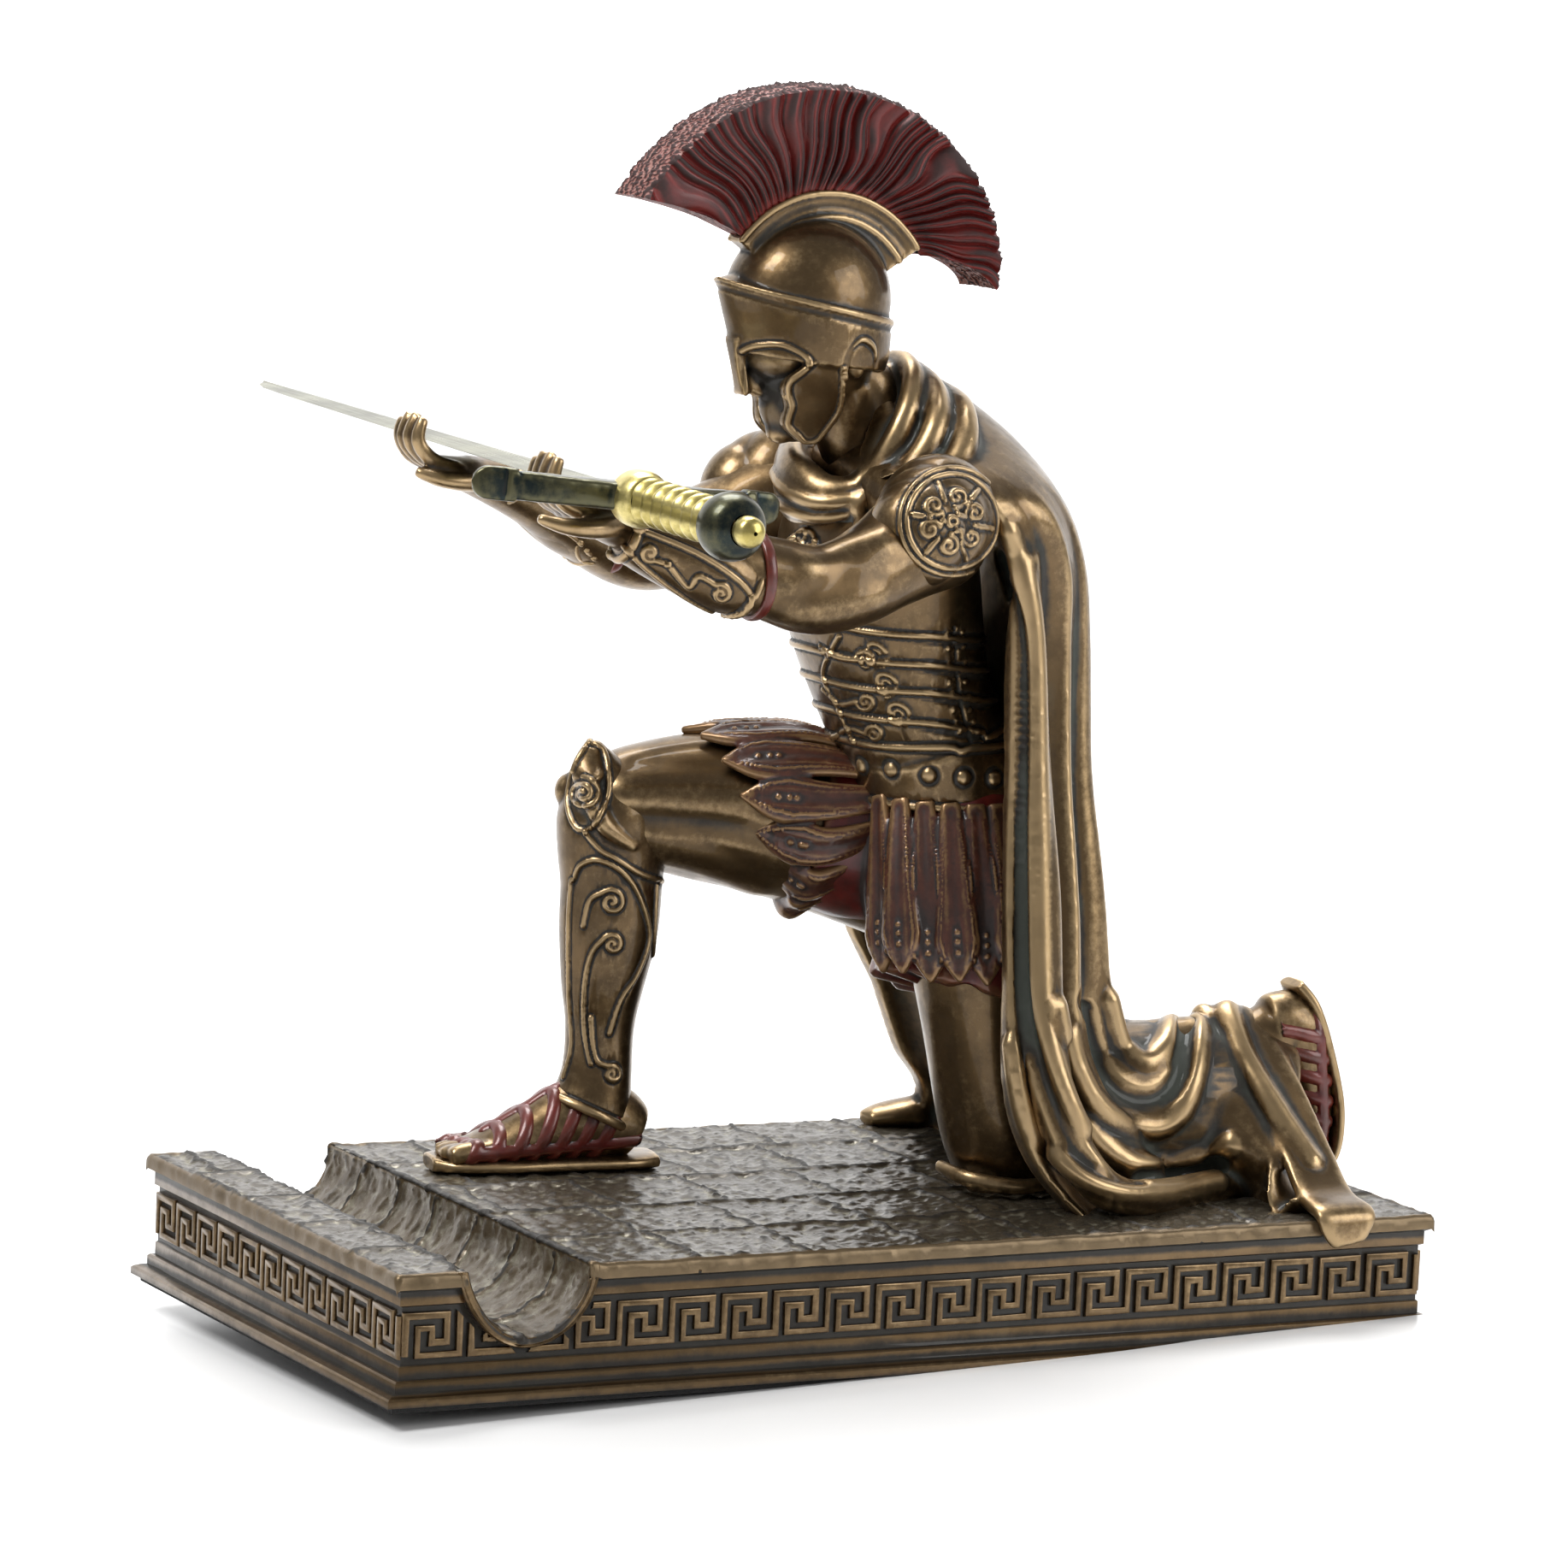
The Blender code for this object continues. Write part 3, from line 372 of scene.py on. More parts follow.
def camera_axes():
    """Right, up and forward of the camera."""
    ahead = (TARGET - EYE).normalized()
    level = ahead.cross(Vector((0, 0, 1))).normalized()
    upright = level.cross(ahead)
    right = level * math.cos(ROLL) - upright * math.sin(ROLL)
    up = level * math.sin(ROLL) + upright * math.cos(ROLL)
    return right, up, ahead


EYE_PART = EYE - Vector((0, 0, BASE))
TARGET_PART = TARGET - Vector((0, 0, BASE))


class Wire:
    """A shader socket that takes part in sums, so that a material reads as arithmetic."""

    def __init__(self, tree, socket):
        self.tree = tree
        self.socket = socket

    def math(self, operation, *others, clamp=False):
        return node(self.tree, "Math", {"operation": operation, "use_clamp": clamp}, (self, *others))

    def __add__(self, other):
        return self.math("ADD", other)

    def __radd__(self, other):
        return self.math("ADD", other)

    def __sub__(self, other):
        return self.math("SUBTRACT", other)

    def __rsub__(self, other):
        return node(self.tree, "Math", {"operation": "SUBTRACT"}, (other, self))

    def __mul__(self, other):
        return self.math("MULTIPLY", other)

    def __rmul__(self, other):
        return self.math("MULTIPLY", other)

    def clamped(self):
        return self.math("ADD", 0.0, clamp=True)

    def ramp(self, low, high):
        """0 below low and 1 above high, smooth between them."""
        settings = {"interpolation_type": "SMOOTHSTEP"}
        return node(self.tree, "MapRange", settings, (self, low, high, 0.0, 1.0))


def node(tree, kind, settings=None, inputs=(), output=0):
    """Any shader node, from its type, its settings and its sockets' values or links."""
    made = tree.nodes.new(f"ShaderNode{kind}")
    for name, value in (settings or {}).items():
        setattr(made, name, value)
    fill(tree, made, inputs.items() if isinstance(inputs, dict) else enumerate(inputs))
    return Wire(tree, made.outputs[output])


def fill(tree, made, pairs):
    """Sets or links the sockets of a shader node."""
    for key, value in pairs:
        if isinstance(value, Wire):
            tree.links.new(value.socket, made.inputs[key])
        elif value is not None:
            made.inputs[key].default_value = value


def blend(tree, share, first, second):
    """A colour between two colours."""
    colours = [c if isinstance(c, Wire) else (*c, 1) for c in (first, second)]
    settings = {"data_type": "RGBA"}
    return node(tree, "Mix", settings, {0: share, 6: colours[0], 7: colours[1]}, output=2)


class Finish:
    """A new material, its surface shader and the fields that its colours are made from."""

    def __init__(self, name):
        self.material = bpy.data.materials.new(name)
        self.material.use_nodes = True
        self.tree = self.material.node_tree
        self.shader = self.tree.nodes["Principled BSDF"]
        self.place = node(self.tree, "TexCoord", output=3)

    def field(self, label):
        return node(self.tree, "Attribute", {"attribute_name": label}, output=2)

    def noise(self, size, detail=4.0, roughness=0.55, stretch=None):
        """Noise from 0 to 1 with features of a size in millimetres."""
        place = self.place
        if stretch:
            place = node(self.tree, "Mapping", {}, {0: place, 3: stretch})
        return node(self.tree, "TexNoise", {}, {0: place, 2: 1 / (size * MM), 3: detail, 4: roughness})

    def set(self, colour=None, roughness=None, metallic=None, height=None, depth=0.1, strength=1.0, **plain):
        sockets = {"Base Color": colour, "Roughness": roughness, "Metallic": metallic}
        if height is not None:
            sockets["Normal"] = node(self.tree, "Bump", {}, {0: strength, 1: depth * MM, 3: height})
        sockets.update({name.replace("_", " "): value for name, value in plain.items()})
        fill(self.tree, self.shader, sockets.items())
        return self.material


def bronze_finish(name, wash, metal, rub, moss=0.2):
    """Cold-cast bronze: a dark wash in every hollow, painted shade where the mask is set, gold-brown where
    hands rub it.
    """
    look = Finish(name)
    fine, broad = look.field("fine"), look.field("broad").math("MAXIMUM", -0.4)
    cloud = look.noise(11, detail=5.0)
    speck = look.noise(1.3, detail=6.0, roughness=0.7)
    # The mask term is painted shade, such as the face under the helmet; the dent and noise terms are the
    # dark wash.
    hollow = fine * 0.55 + broad * 0.55 + cloud * 0.7 + speck * 0.45 + look.field("mask") * 0.8
    hollow = (hollow - 0.56).ramp(0.0, 0.7)
    ridge = ((speck - 0.5) * 1.1 + (cloud - 0.5) * 0.6 - fine * 0.7 - broad * 0.12 - 0.06).ramp(0.0, 0.8)
    tarnish = look.noise(6, detail=6.0, roughness=0.65).ramp(0.4, 0.66)
    colour = blend(look.tree, tarnish * 0.55, metal, [c * 0.5 for c in metal])
    colour = blend(look.tree, ridge, colour, rub)
    colour = blend(look.tree, hollow * 0.95, colour, wash)
    verdigris = (broad * 0.4 + look.noise(8, detail=5.0) - 0.5).ramp(0.05, 0.5) * moss
    colour = blend(look.tree, verdigris, colour, (0.06, 0.075, 0.06))
    roughness = (0.25 + hollow * 0.3 + speck * 0.12 + tarnish * 0.1 + verdigris * 0.25).clamped()
    metallic = (0.97 - hollow * 0.6 - verdigris * 0.5).clamped()
    height = speck * 0.5 + look.noise(0.35, detail=3.0) * 0.3
    return look.set(colour, roughness, metallic, height, depth=0.05, strength=0.5, Coat_Weight=0.25)


def paint_finish(name, paint, wash=(0.012, 0.006, 0.005), bare=0.3):
    """Red paint with a dark wash, worn to bronze on its ridges."""
    look = Finish(name)
    fine, broad = look.field("fine"), look.field("broad").math("MAXIMUM", -0.4)
    cloud = look.noise(7, detail=5.0)
    speck = look.noise(0.8, detail=6.0, roughness=0.7)
    hollow = (fine * 0.7 + broad * 0.4 + cloud * 0.5 + speck * 0.35 - 0.4).ramp(0.0, 0.6)
    ridge = ((cloud - 0.5) * 0.9 + (speck - 0.5) * 0.7 - fine * 0.7 - 0.02).ramp(0.05, 0.8) * bare
    shade = blend(look.tree, look.noise(3, detail=5.0).ramp(0.35, 0.7), paint, [c * 0.5 for c in paint])
    colour = blend(look.tree, ridge, shade, (0.3, 0.18, 0.08))
    colour = blend(look.tree, hollow * 0.94, colour, wash)
    roughness = (0.28 + hollow * 0.3 + speck * 0.12).clamped()
    metallic = (0.12 + ridge * 0.7 - hollow * 0.1).clamped()
    height = speck * 0.6 + look.noise(0.3, detail=3.0) * 0.4
    return look.set(colour, roughness, metallic, height, depth=0.03, strength=0.5, Coat_Weight=0.3)


def flesh():
    """Head, neck, arms, hands and legs, with the muscles that show between the armour."""
    clay = Clay()
    # Neck, skull, jaw and chin
    clay.limb([(12, 3, 104, 7.5, 8.5), (8.5, 3, 113, 6.4, 6.2), (4, 3, 123, 6.8, 6.4)])
    clay.ball((-0.2, 3, 130), (10, 8.4, 13), 8)
    clay.ball((-7.4, 3, 127.6), (5.2, 7, 4))
    clay.ball((-3.4, 3, 120.6), (6, 5, 6.2))
    clay.ball((-6, 3, 116), (2.2, 2.4, 1.9))
    clay.limb([(10.6, 3, 110, 7, 8), (9.8, 3, 119, 6, 7), (6, 3, 125.4, 4.6, 6)])
    # Nose and lips
    clay.limb([(-9.4, 3, 128.6, 1.8, 1.5), (-10.4, 3, 125.4, 1.8, 1.3), (-10.8, 3, 123.2, 1.6, 1.6),
               (-9.4, 3, 122.2, 1.2, 1.4)])
    clay.limb([(-7.2, 0, 119.6, 0.6, 0.55), (-8, 3, 119.8, 0.8, 0.6), (-7.2, 6, 119.6, 0.6, 0.55)],
              side=(0, 0, 1))
    clay.limb([(-7, 0.8, 118.5, 0.7, 0.6), (-7.6, 3, 118.4, 0.85, 0.75), (-7, 5.2, 118.5, 0.7, 0.6)],
              side=(0, 0, 1))
    # Eyes, brows, cheeks, ears and arms
    for side in SIDES:
        clay.ball((-7.7, MEDIAN + side * 3.5, 126.2), (1.9, 1.9, 1.5))
        brow = ((-9.4, 1.2, 128.3, 1.1), (-9.2, 3.8, 128.7, 1.1), (-7.2, 6.4, 127.8, 1))
        clay.limb([(x, MEDIAN + side * out, z, deep, 0.9) for x, out, z, deep in brow], side=(0, 0, 1))
        clay.ball((-6, MEDIAN + side * 5, 122.6), (2.6, 2, 2.6))
        clay.ball((2.2, MEDIAN + side * 8.3, 127.4), (1.6, 0.9, 2.7), -15)
        arm_forms(clay, side)
    hand(clay, (-47.5, -25.2, 106), (-53, -24.6, 106.8), (-58.2, 115.4))
    hand(clay, (-45.5, 22.4, 107.9), (-53.5, 21.6, 108.7), (-59, 116.8))
    # Raised thigh, kneeling leg and the calf behind it
    clay.limb([
        (24, 9, 49, 14, 12), (13, 13, 53, 14, 12.4), (2, 16.5, 55.3, 13, 12),
        (-9, 19.2, 56.2, 11.6, 10.6), (-18, 20, 56.6, 9.8, 9.2), (-24, 20, 56.6, 8, 8),
        (-28, 20, 56.4, 5, 5.5),
    ])
    clay.limb([
        (26, -4, 52, 13, 12.5), (27.4, -7.5, 38, 11.8, 11.6), (28, -9, 28, 10.4, 10.2),
        (28.8, -9.6, 18, 9.2, 9.2), (30, -10, 9, 8.4, 8.6), (31, -10, 2, 6.6, 7), (31.2, -10, -2, 5, 5),
    ])
    clay.limb([
        (31, -10, 7, 7.5, 7.8), (42, -11.5, 12, 9.6, 9), (54, -14, 16.2, 9, 8.6), (65, -16, 19.6, 6.8, 6.6),
        (73, -17.3, 22.4, 5.4, 5.2), (78, -18, 26.4, 4.8, 4.8),
    ])
    foot_forms(clay)
    skin = clay.skin(0.36, settle=9)
    for y in np.linspace(19.6, 28.2, 5):
        skin.bead(through([(-47.6, y, 3.4), (-44.5, y - 0.4, 4.6)], 12), 0.5, -0.22)
    for stroke, reach, height in MUSCLES:
        skin.swell(skin.seen(through(stroke, 20)), reach, height)
    for path, reach, height in FAR_MUSCLES:
        skin.swell(skin.near(through(path, 20)), reach, height)
    skin.settle(3)
    return skin


# Muscles and the grooves between them: strokes of the picture plane, their reach and height
MUSCLES = (
    (((-27, -5), (-18, -5.6), (-9, -6.6), (-1, -9)), 2.8, -0.5),
    (((-25, -0.6), (-16, -1), (-7, -1.6)), 4.8, 0.7),
    (((-22, -10), (-13, -12), (-5, -16)), 4.6, 0.6),
    (((4.6, 33.6), (9, 36.4), (14.6, 37.4)), 4.2, 0.6),
    (((4, 29), (9, 30.6), (14, 31)), 3.2, -0.25),
    (((2, 25.4), (8, 26), (14, 28)), 3.8, 0.4),
    (((11.1, 61), (9.4, 55), (7.4, 49)), 2.6, 0.35),
    (((24, -36), (25.4, -46), (27, -55)), 3, -0.3),
    (((20.4, -38), (21, -47), (22.4, -55)), 3.6, 0.3),
)
# The same on the sides turned away, as places near the skin
FAR_MUSCLES = (
    (((-24, 27, 60), (-12, 29, 58), (0, 30, 56)), 4.6, 0.6),
    (((4, 34, 107), (-6, 34, 103), (-12, 33, 101)), 4.2, 0.6),
    (((42, -13, 22), (52, -14.6, 25), (60, -16, 25)), 5, 0.6),
    (((28, 2, 36), (29, 0, 26), (30, -1, 16)), 4, 0.4),
)


# The near arm as (x, out from the median, z, half depth, half width), then how far in and how far up
# the far arm's forms lie from its mirror image
ARM = (
    (12, 20, 103, 9, 8, 0, 0), (6, 25, 102.5, 8.8, 7.8, 1.65, 0), (-2, 28.5, 99.3, 7.4, 7, 3.3, 0),
    (-9, 30.5, 96.5, 6.9, 6.6, 4.4, 0), (-15.5, 31, 95.4, 6.6, 6.2, 5.5, 0),
    (-21, 30.8, 96.8, 6.4, 6.3, 5.72, 0), (-28, 30.2, 98.8, 5.7, 6, 6.6, 1.1),
    (-38, 29, 102, 4.4, 4.9, 7.48, 2.2), (-46, 28.3, 104.7, 3.3, 4.2, 8.25, 2.2),
    (-50, 28, 105.8, 2.7, 4.2, 8.36, 2.2),
)


def arm_forms(clay, side):
    """One arm; the far one reaches further in and a little higher."""
    far = side > 0
    clay.limb([
        (x, MEDIAN + side * (out - far * inward), z + far * lift, depth, width)
        for x, out, z, depth, width, inward, lift in ARM
    ])


def hand(clay, wrist, knuckle, tip):
    """An open palm under the blade, its fingers curled up past the blade's edge."""
    wx, wy, wz = wrist
    kx, ky, kz = knuckle
    palm = [(wx + 3, wy, wz - 0.4, 2.4, 3.4),
            ((wx + kx) / 2, (wy + ky) / 2, (wz + kz) / 2 - 0.3, 2.4, 4.6),
            (kx, ky, kz, 2, 4.9), (kx - 2, ky, kz + 0.6, 1.6, 4.4)]
    clay.limb(palm)
    tx, tz = tip
    for finger in range(4):
        y = ky + (finger - 1.5) * 2.45
        reach = (1, 1.06, 1.04, 0.94)[finger]
        joints = [(kx + 1, y, kz, 1.35, 1.3), (kx - 3.5, y, kz + 1.6, 1.3, 1.2),
                  (kx + (tx - kx) * reach - 0.5, y, (kz + tz) / 2 + 0.6, 1.2, 1.12),
                  (tx + 0.4, y, kz + (tz - kz) * reach, 0.95, 1.0)]
        clay.limb(joints, points=20, steps=6)
    thumb = [(wx, wy - 2.6, wz - 0.5, 1.9, 1.9), (wx - 5, wy - 5.2, wz - 0.8, 1.7, 1.8),
             (wx - 10.5, wy - 6, wz - 0.4, 1.3, 1.6), (wx - 14.5, wy - 5, wz + 0.8, 0.9, 1.1)]
    clay.limb(thumb, points=20)


def foot_forms(clay):
    """The planted foot with its toes, and the foot whose heel is raised."""
    planted = [
        (-17.8, 19, 5, 4.4, 4.2), (-22, 19.6, 7, 6.2, 5.2), (-28, 20.4, 7, 6.4, 5.4),
        (-34, 21.2, 5.4, 4.8, 5.6), (-40, 22.2, 3.8, 3.2, 5.6), (-44, 23, 2.8, 2, 4.8),
    ]
    clay.limb(planted)
    for toe in range(5):
        y = 18.6 + 2.35 * toe
        reach = (0, -0.6, -0.3, 0.7, 2.2)[toe]
        size = (1.75, 1.25, 1.2, 1.15, 1.1)[toe]
        clay.limb([(-42, y, 3.2, size, size), (-46.4 + reach, y + 0.2, 3.2, size, size),
                   (-49.2 + reach, y + 0.3, 2.7, size * 0.8, size * 0.85)], points=18)
    rear = [(73.5, -17.6, 24.5, 5, 4.8), (78, -18, 24.5, 5.4, 5), (80.4, -18, 17.5, 4.4, 5.2),
            (81.6, -18, 9.5, 3.4, 5.3), (80, -18, 4, 2.6, 5)]
    clay.limb(rear)


CREST_HUB = 134
HOLDER_HALF = 2.1
# The raised rims over the eye and round the ear, as (x, out from the median, z)
BROW_EDGE = ((-13.9, 1.8, 128.6), (-12.6, 4.6, 129.6), (-9.8, 7.6, 129.9), (-6.9, 9.3, 128.4),
             (-6.4, 9.7, 127.2))
EAR_ARCH = ((-0.4, 9.9, 125.2), (-0.6, 10.4, 128.6), (1.6, 10.4, 131), (4.6, 10, 129.6), (5.6, 9.6, 126.4))


def over_hub(turn, radius, out):
    """A place at an angle and a radius from the crest's hub, some way out from its middle plane."""
    return (radius * math.cos(turn), MEDIAN + out, CREST_HUB + radius * math.sin(turn))


def helmet():
    """Dome, brow band with its roll, nose guard, cheek guards and the arched crest holder."""
    clay = Clay()
    clay.ball((-2.2, MEDIAN, 136.4), (13.2, 11, 12.4))
    bridge(clay.bm, [
        [band_point(*level, angle) for angle in ring_angles(72)]
        for level in ((-14.4, 10.4, 128.4, 125.6, 10.9), (-15.2, 11, 131.5, 127.6, 11.2),
                      (-17.6, 11.4, 139.4, 133, 11.5), (-14, 10.6, 140.2, 133.8, 10.7))
    ])
    nose = [(-14.2, MEDIAN, 130.5, 1.1, 2.4), (-13.6, MEDIAN, 126.4, 0.9, 1.5),
            (-12.4, MEDIAN, 121.8, 0.9, 1.9)]
    clay.limb(nose, blunt=4)
    for side in SIDES:
        clay.plate(cheek_grid(side, 0.9), cheek_grid(side, -1.2))
    clay.plate(*[
        [[over_hub(turn, radius, face * HOLDER_HALF) for radius in np.linspace(11, 19, 9)]
         for turn in np.radians(np.linspace(33, 144, 61))]
        for face in SIDES
    ])
    skin = clay.skin(0.27, settle=6)
    for level, width, height in (((-17.8, 11.5, 139.5, 133, 11.6), 0.6, 0.34),
                                 ((-17, 11.3, 137.9, 131.7, 11.4), 0.5, -0.16)):
        skin.bead(np.array([band_point(*level, angle) for angle in ring_angles(300)]), width, height)
    for side in SIDES:
        skin.bead(through(cheek_edge(side)[::2], 20), 0.55, 0.32, floor=0.12)
        for edge, height in ((BROW_EDGE, 0.4), (EAR_ARCH, 0.42)):
            path = through([(x, MEDIAN + side * out, z) for x, out, z in edge], 24)
            skin.bead(path, 0.6, height, floor=0.14)
        for radius, height in ((18.6, 0.3), (14.9, 0.3), (16.7, -0.1)):
            turns = np.radians(np.linspace(34, 143, 260))
            skin.bead(np.array([over_hub(turn, radius, side * HOLDER_HALF) for turn in turns]), 0.55, height)
    for side in SIDES:
        skin.bead(np.array([(-12.9, MEDIAN + side * 1.7, z) for z in np.linspace(121, 128.6, 60)]), 0.4, 0.2)
    return skin


def band_point(front, back, low, rear, half, angle):
    """A point of one level of the brow band, which is lower and rounder at the back."""
    c, s = math.cos(angle), math.sin(angle)
    x = (front + back) / 2 - (back - front) / 2 * c
    y = MEDIAN + half * s * (1 - 0.3 * max(c, 0) ** 2)
    return (x, y, low + (rear - low) * ((1 - c) / 2) ** 0.8)


CHEEK_ROWS = [
    (-7, 2.5, 130.5, 9.8), (-6.4, -0.6, 127.4, 9.7), (-8.8, -0.2, 124.2, 9),
    (-7.8, 0.2, 120.5, 7.8), (-7.8, -1, 117.4, 6.6), (-4.8, -2.6, 114.8, 5.4),
]


def cheek_point(side, x, height, bulge, proud):
    rise = min(max((height - 122) / 7, 0), 1)
    across = (x - 1 + 3 * rise) / (11.5 + 0.9 * rise)
    return (x, MEDIAN + side * (bulge * math.sqrt(max(1 - across**2, 0.1)) + proud), height)


def cheek_grid(side, proud):
    rows = through(CHEEK_ROWS, 4)
    return [
        [cheek_point(side, x, height, bulge, proud) for x in np.linspace(front, back, 9)]
        for front, back, height, bulge in rows
    ]


def cheek_edge(side):
    """The outline of a cheek guard below the eye, from the eye's corner round to the ear."""
    rows = through(CHEEK_ROWS, 4)[4:]
    front = [cheek_point(side, f + 0.5, h, b, 0.9) for f, _, h, b in rows]
    rear = [cheek_point(side, r - 0.4, h, b, 0.9) for _, r, h, b in rows[::-1]]
    return front + rear


def crest_radii(angle):
    """The crest's inner and outer radius at an angle over the dome, larger to the front."""
    share = max((angle - 9) / 142, 0)
    return 18.4, 27.6 + 9.3 * share**0.62


def crest_point(share, out):
    """The angle and the radius on a side of the crest, from rear to front and hub to rim."""
    rear, front = 30 - 21 * out, 141 + 11 * out
    angle = rear + share * (front - rear)
    inner, outer = crest_radii(angle)
    return math.radians(angle), inner + (outer - inner) * out


def crest_hair():
    """The two sides of the crest: long wavy locks with fine strands in each."""
    columns, rows, locks = 760, 46, 27
    share, out = np.meshgrid(np.linspace(0, 1, columns), np.linspace(0, 1, rows), indexing="ij")
    polar = np.array([[crest_point(s, o) for o in out[0]] for s in share[:, 0]])
    turn, radius = polar[..., 0], polar[..., 1]
    grids = []
    for face in SIDES:
        flow = np.stack([share * 60, out * 7, np.full(share.shape, face * 5.0)], axis=-1)
        sway = wander(flow, 14, 11)
        place = share * locks + sway * 0.8 * (0.2 + out) + 0.24 * np.sin(out * 7 + face)
        index = np.floor(place)
        within = place - index
        random = np.random.default_rng(7 + face).uniform(0, 1, locks + 12)[index.astype(int) % (locks + 12)]
        lock = np.sqrt(np.clip(1 - (2 * within - 1) ** 2, 0, 1))
        strand = np.abs(np.sin((within * (1.6 + 1.4 * random) + 0.5 * random + 0.3 * sway) * math.pi))
        tuft = smoothstep(0.0, 0.35, out) * (0.5 + 0.5 * np.sin(out * (5 + 5 * random) + random * 6))
        height = 1.15 * lock**1.3 * (0.35 + 0.85 * random) + 0.3 * strand * lock + 0.3 * tuft * lock
        height *= 0.3 + 0.7 * smoothstep(0, 0.2, out)
        half = 1.4 + 3.3 * out + height
        grids.append(np.stack(
            [radius * np.cos(turn), MEDIAN + face * half, CREST_HUB + radius * np.sin(turn)], axis=2
        ))
    return grids


def sheet_skin(points):
    """A skin from a grid of points."""
    rows, columns = points.shape[:2]
    index = np.arange(rows * columns).reshape(rows, columns)
    faces = np.stack([index[:-1, :-1], index[1:, :-1], index[1:, 1:], index[:-1, 1:]], axis=-1)
    return Skin(points.reshape(-1, 3), faces.reshape(-1, 4))


def joined(grids, turned):
    """One skin from several grids; a turned grid's faces point the other way."""
    points, faces, start = [], [], 0
    for grid, turn in zip(grids, turned):
        skin = sheet_skin(grid)
        points.append(skin.points)
        faces.append((skin.faces[:, ::-1] if turn else skin.faces) + start)
        start += len(skin.points)
    return Skin(np.concatenate(points), np.concatenate(faces))


def crest_ends(grids):
    """The broad outer face, where the cut ends of the hair show, and the two narrow end faces."""
    found = []
    for near, far in ((grids[0][:, -1], grids[1][:, -1]), (grids[0][0], grids[1][0]),
                      (grids[1][-1], grids[0][-1])):
        steps = 30
        strip = np.stack([near + (far - near) * t for t in np.linspace(0, 1, steps)], axis=1)
        middle = strip.mean(axis=1, keepdims=True)
        outward = middle - np.array([0, MEDIAN, CREST_HUB])
        outward /= np.linalg.norm(outward, axis=2, keepdims=True)
        across = np.linspace(0, 1, steps)
        rise = 0.5 * np.sqrt(np.clip(1 - (2 * across - 1) ** 2, 0, 1))
        rough = 0.35 * np.abs(wander(strip, 1.7, 21)) + 0.2 * wander(strip, 0.9, 22)
        edge = np.sqrt(np.clip(1 - (2 * across - 1) ** 8, 0, 1))
        found.append(strip + outward * (rough * edge + rise)[..., None])
    return found


def spiral(centre, radius, turns, start, hand=1, tail=()):
    """A scroll in the picture plane: a spiral that opens outward into a tail."""
    found = []
    for t in np.linspace(0, 1, int(60 * turns)):
        angle = math.radians(start) - hand * math.tau * turns * (1 - t)
        reach = radius * (0.12 + 0.88 * t)
        found.append((centre[0] + reach * math.cos(angle), centre[1] + reach * math.sin(angle)))
    if tail:
        found += [tuple(point) for point in through([found[-1], *tail], 14)[1:]]
    return found


TORSO = [
    (28, 3, 40, 9, 12), (27.3, 3, 49, 13, 16), (25.5, 3, 58, 13.2, 16.5), (21.5, 3, 67, 12.2, 15.2),
    (17.3, 3, 76, 12.4, 15.6), (14.3, 3, 85, 13.4, 17.2), (12.2, 3, 94, 13.6, 19), (11.2, 3, 101, 12, 20),
    (10.8, 3, 107, 9, 15), (10.5, 3, 111, 6, 8),
]
BELT = [(24.9, 3, 59.6, 13.9, 17), (22.2, 3, 65.8, 13, 16.1), (20.9, 3, 69, 12.9, 16)]


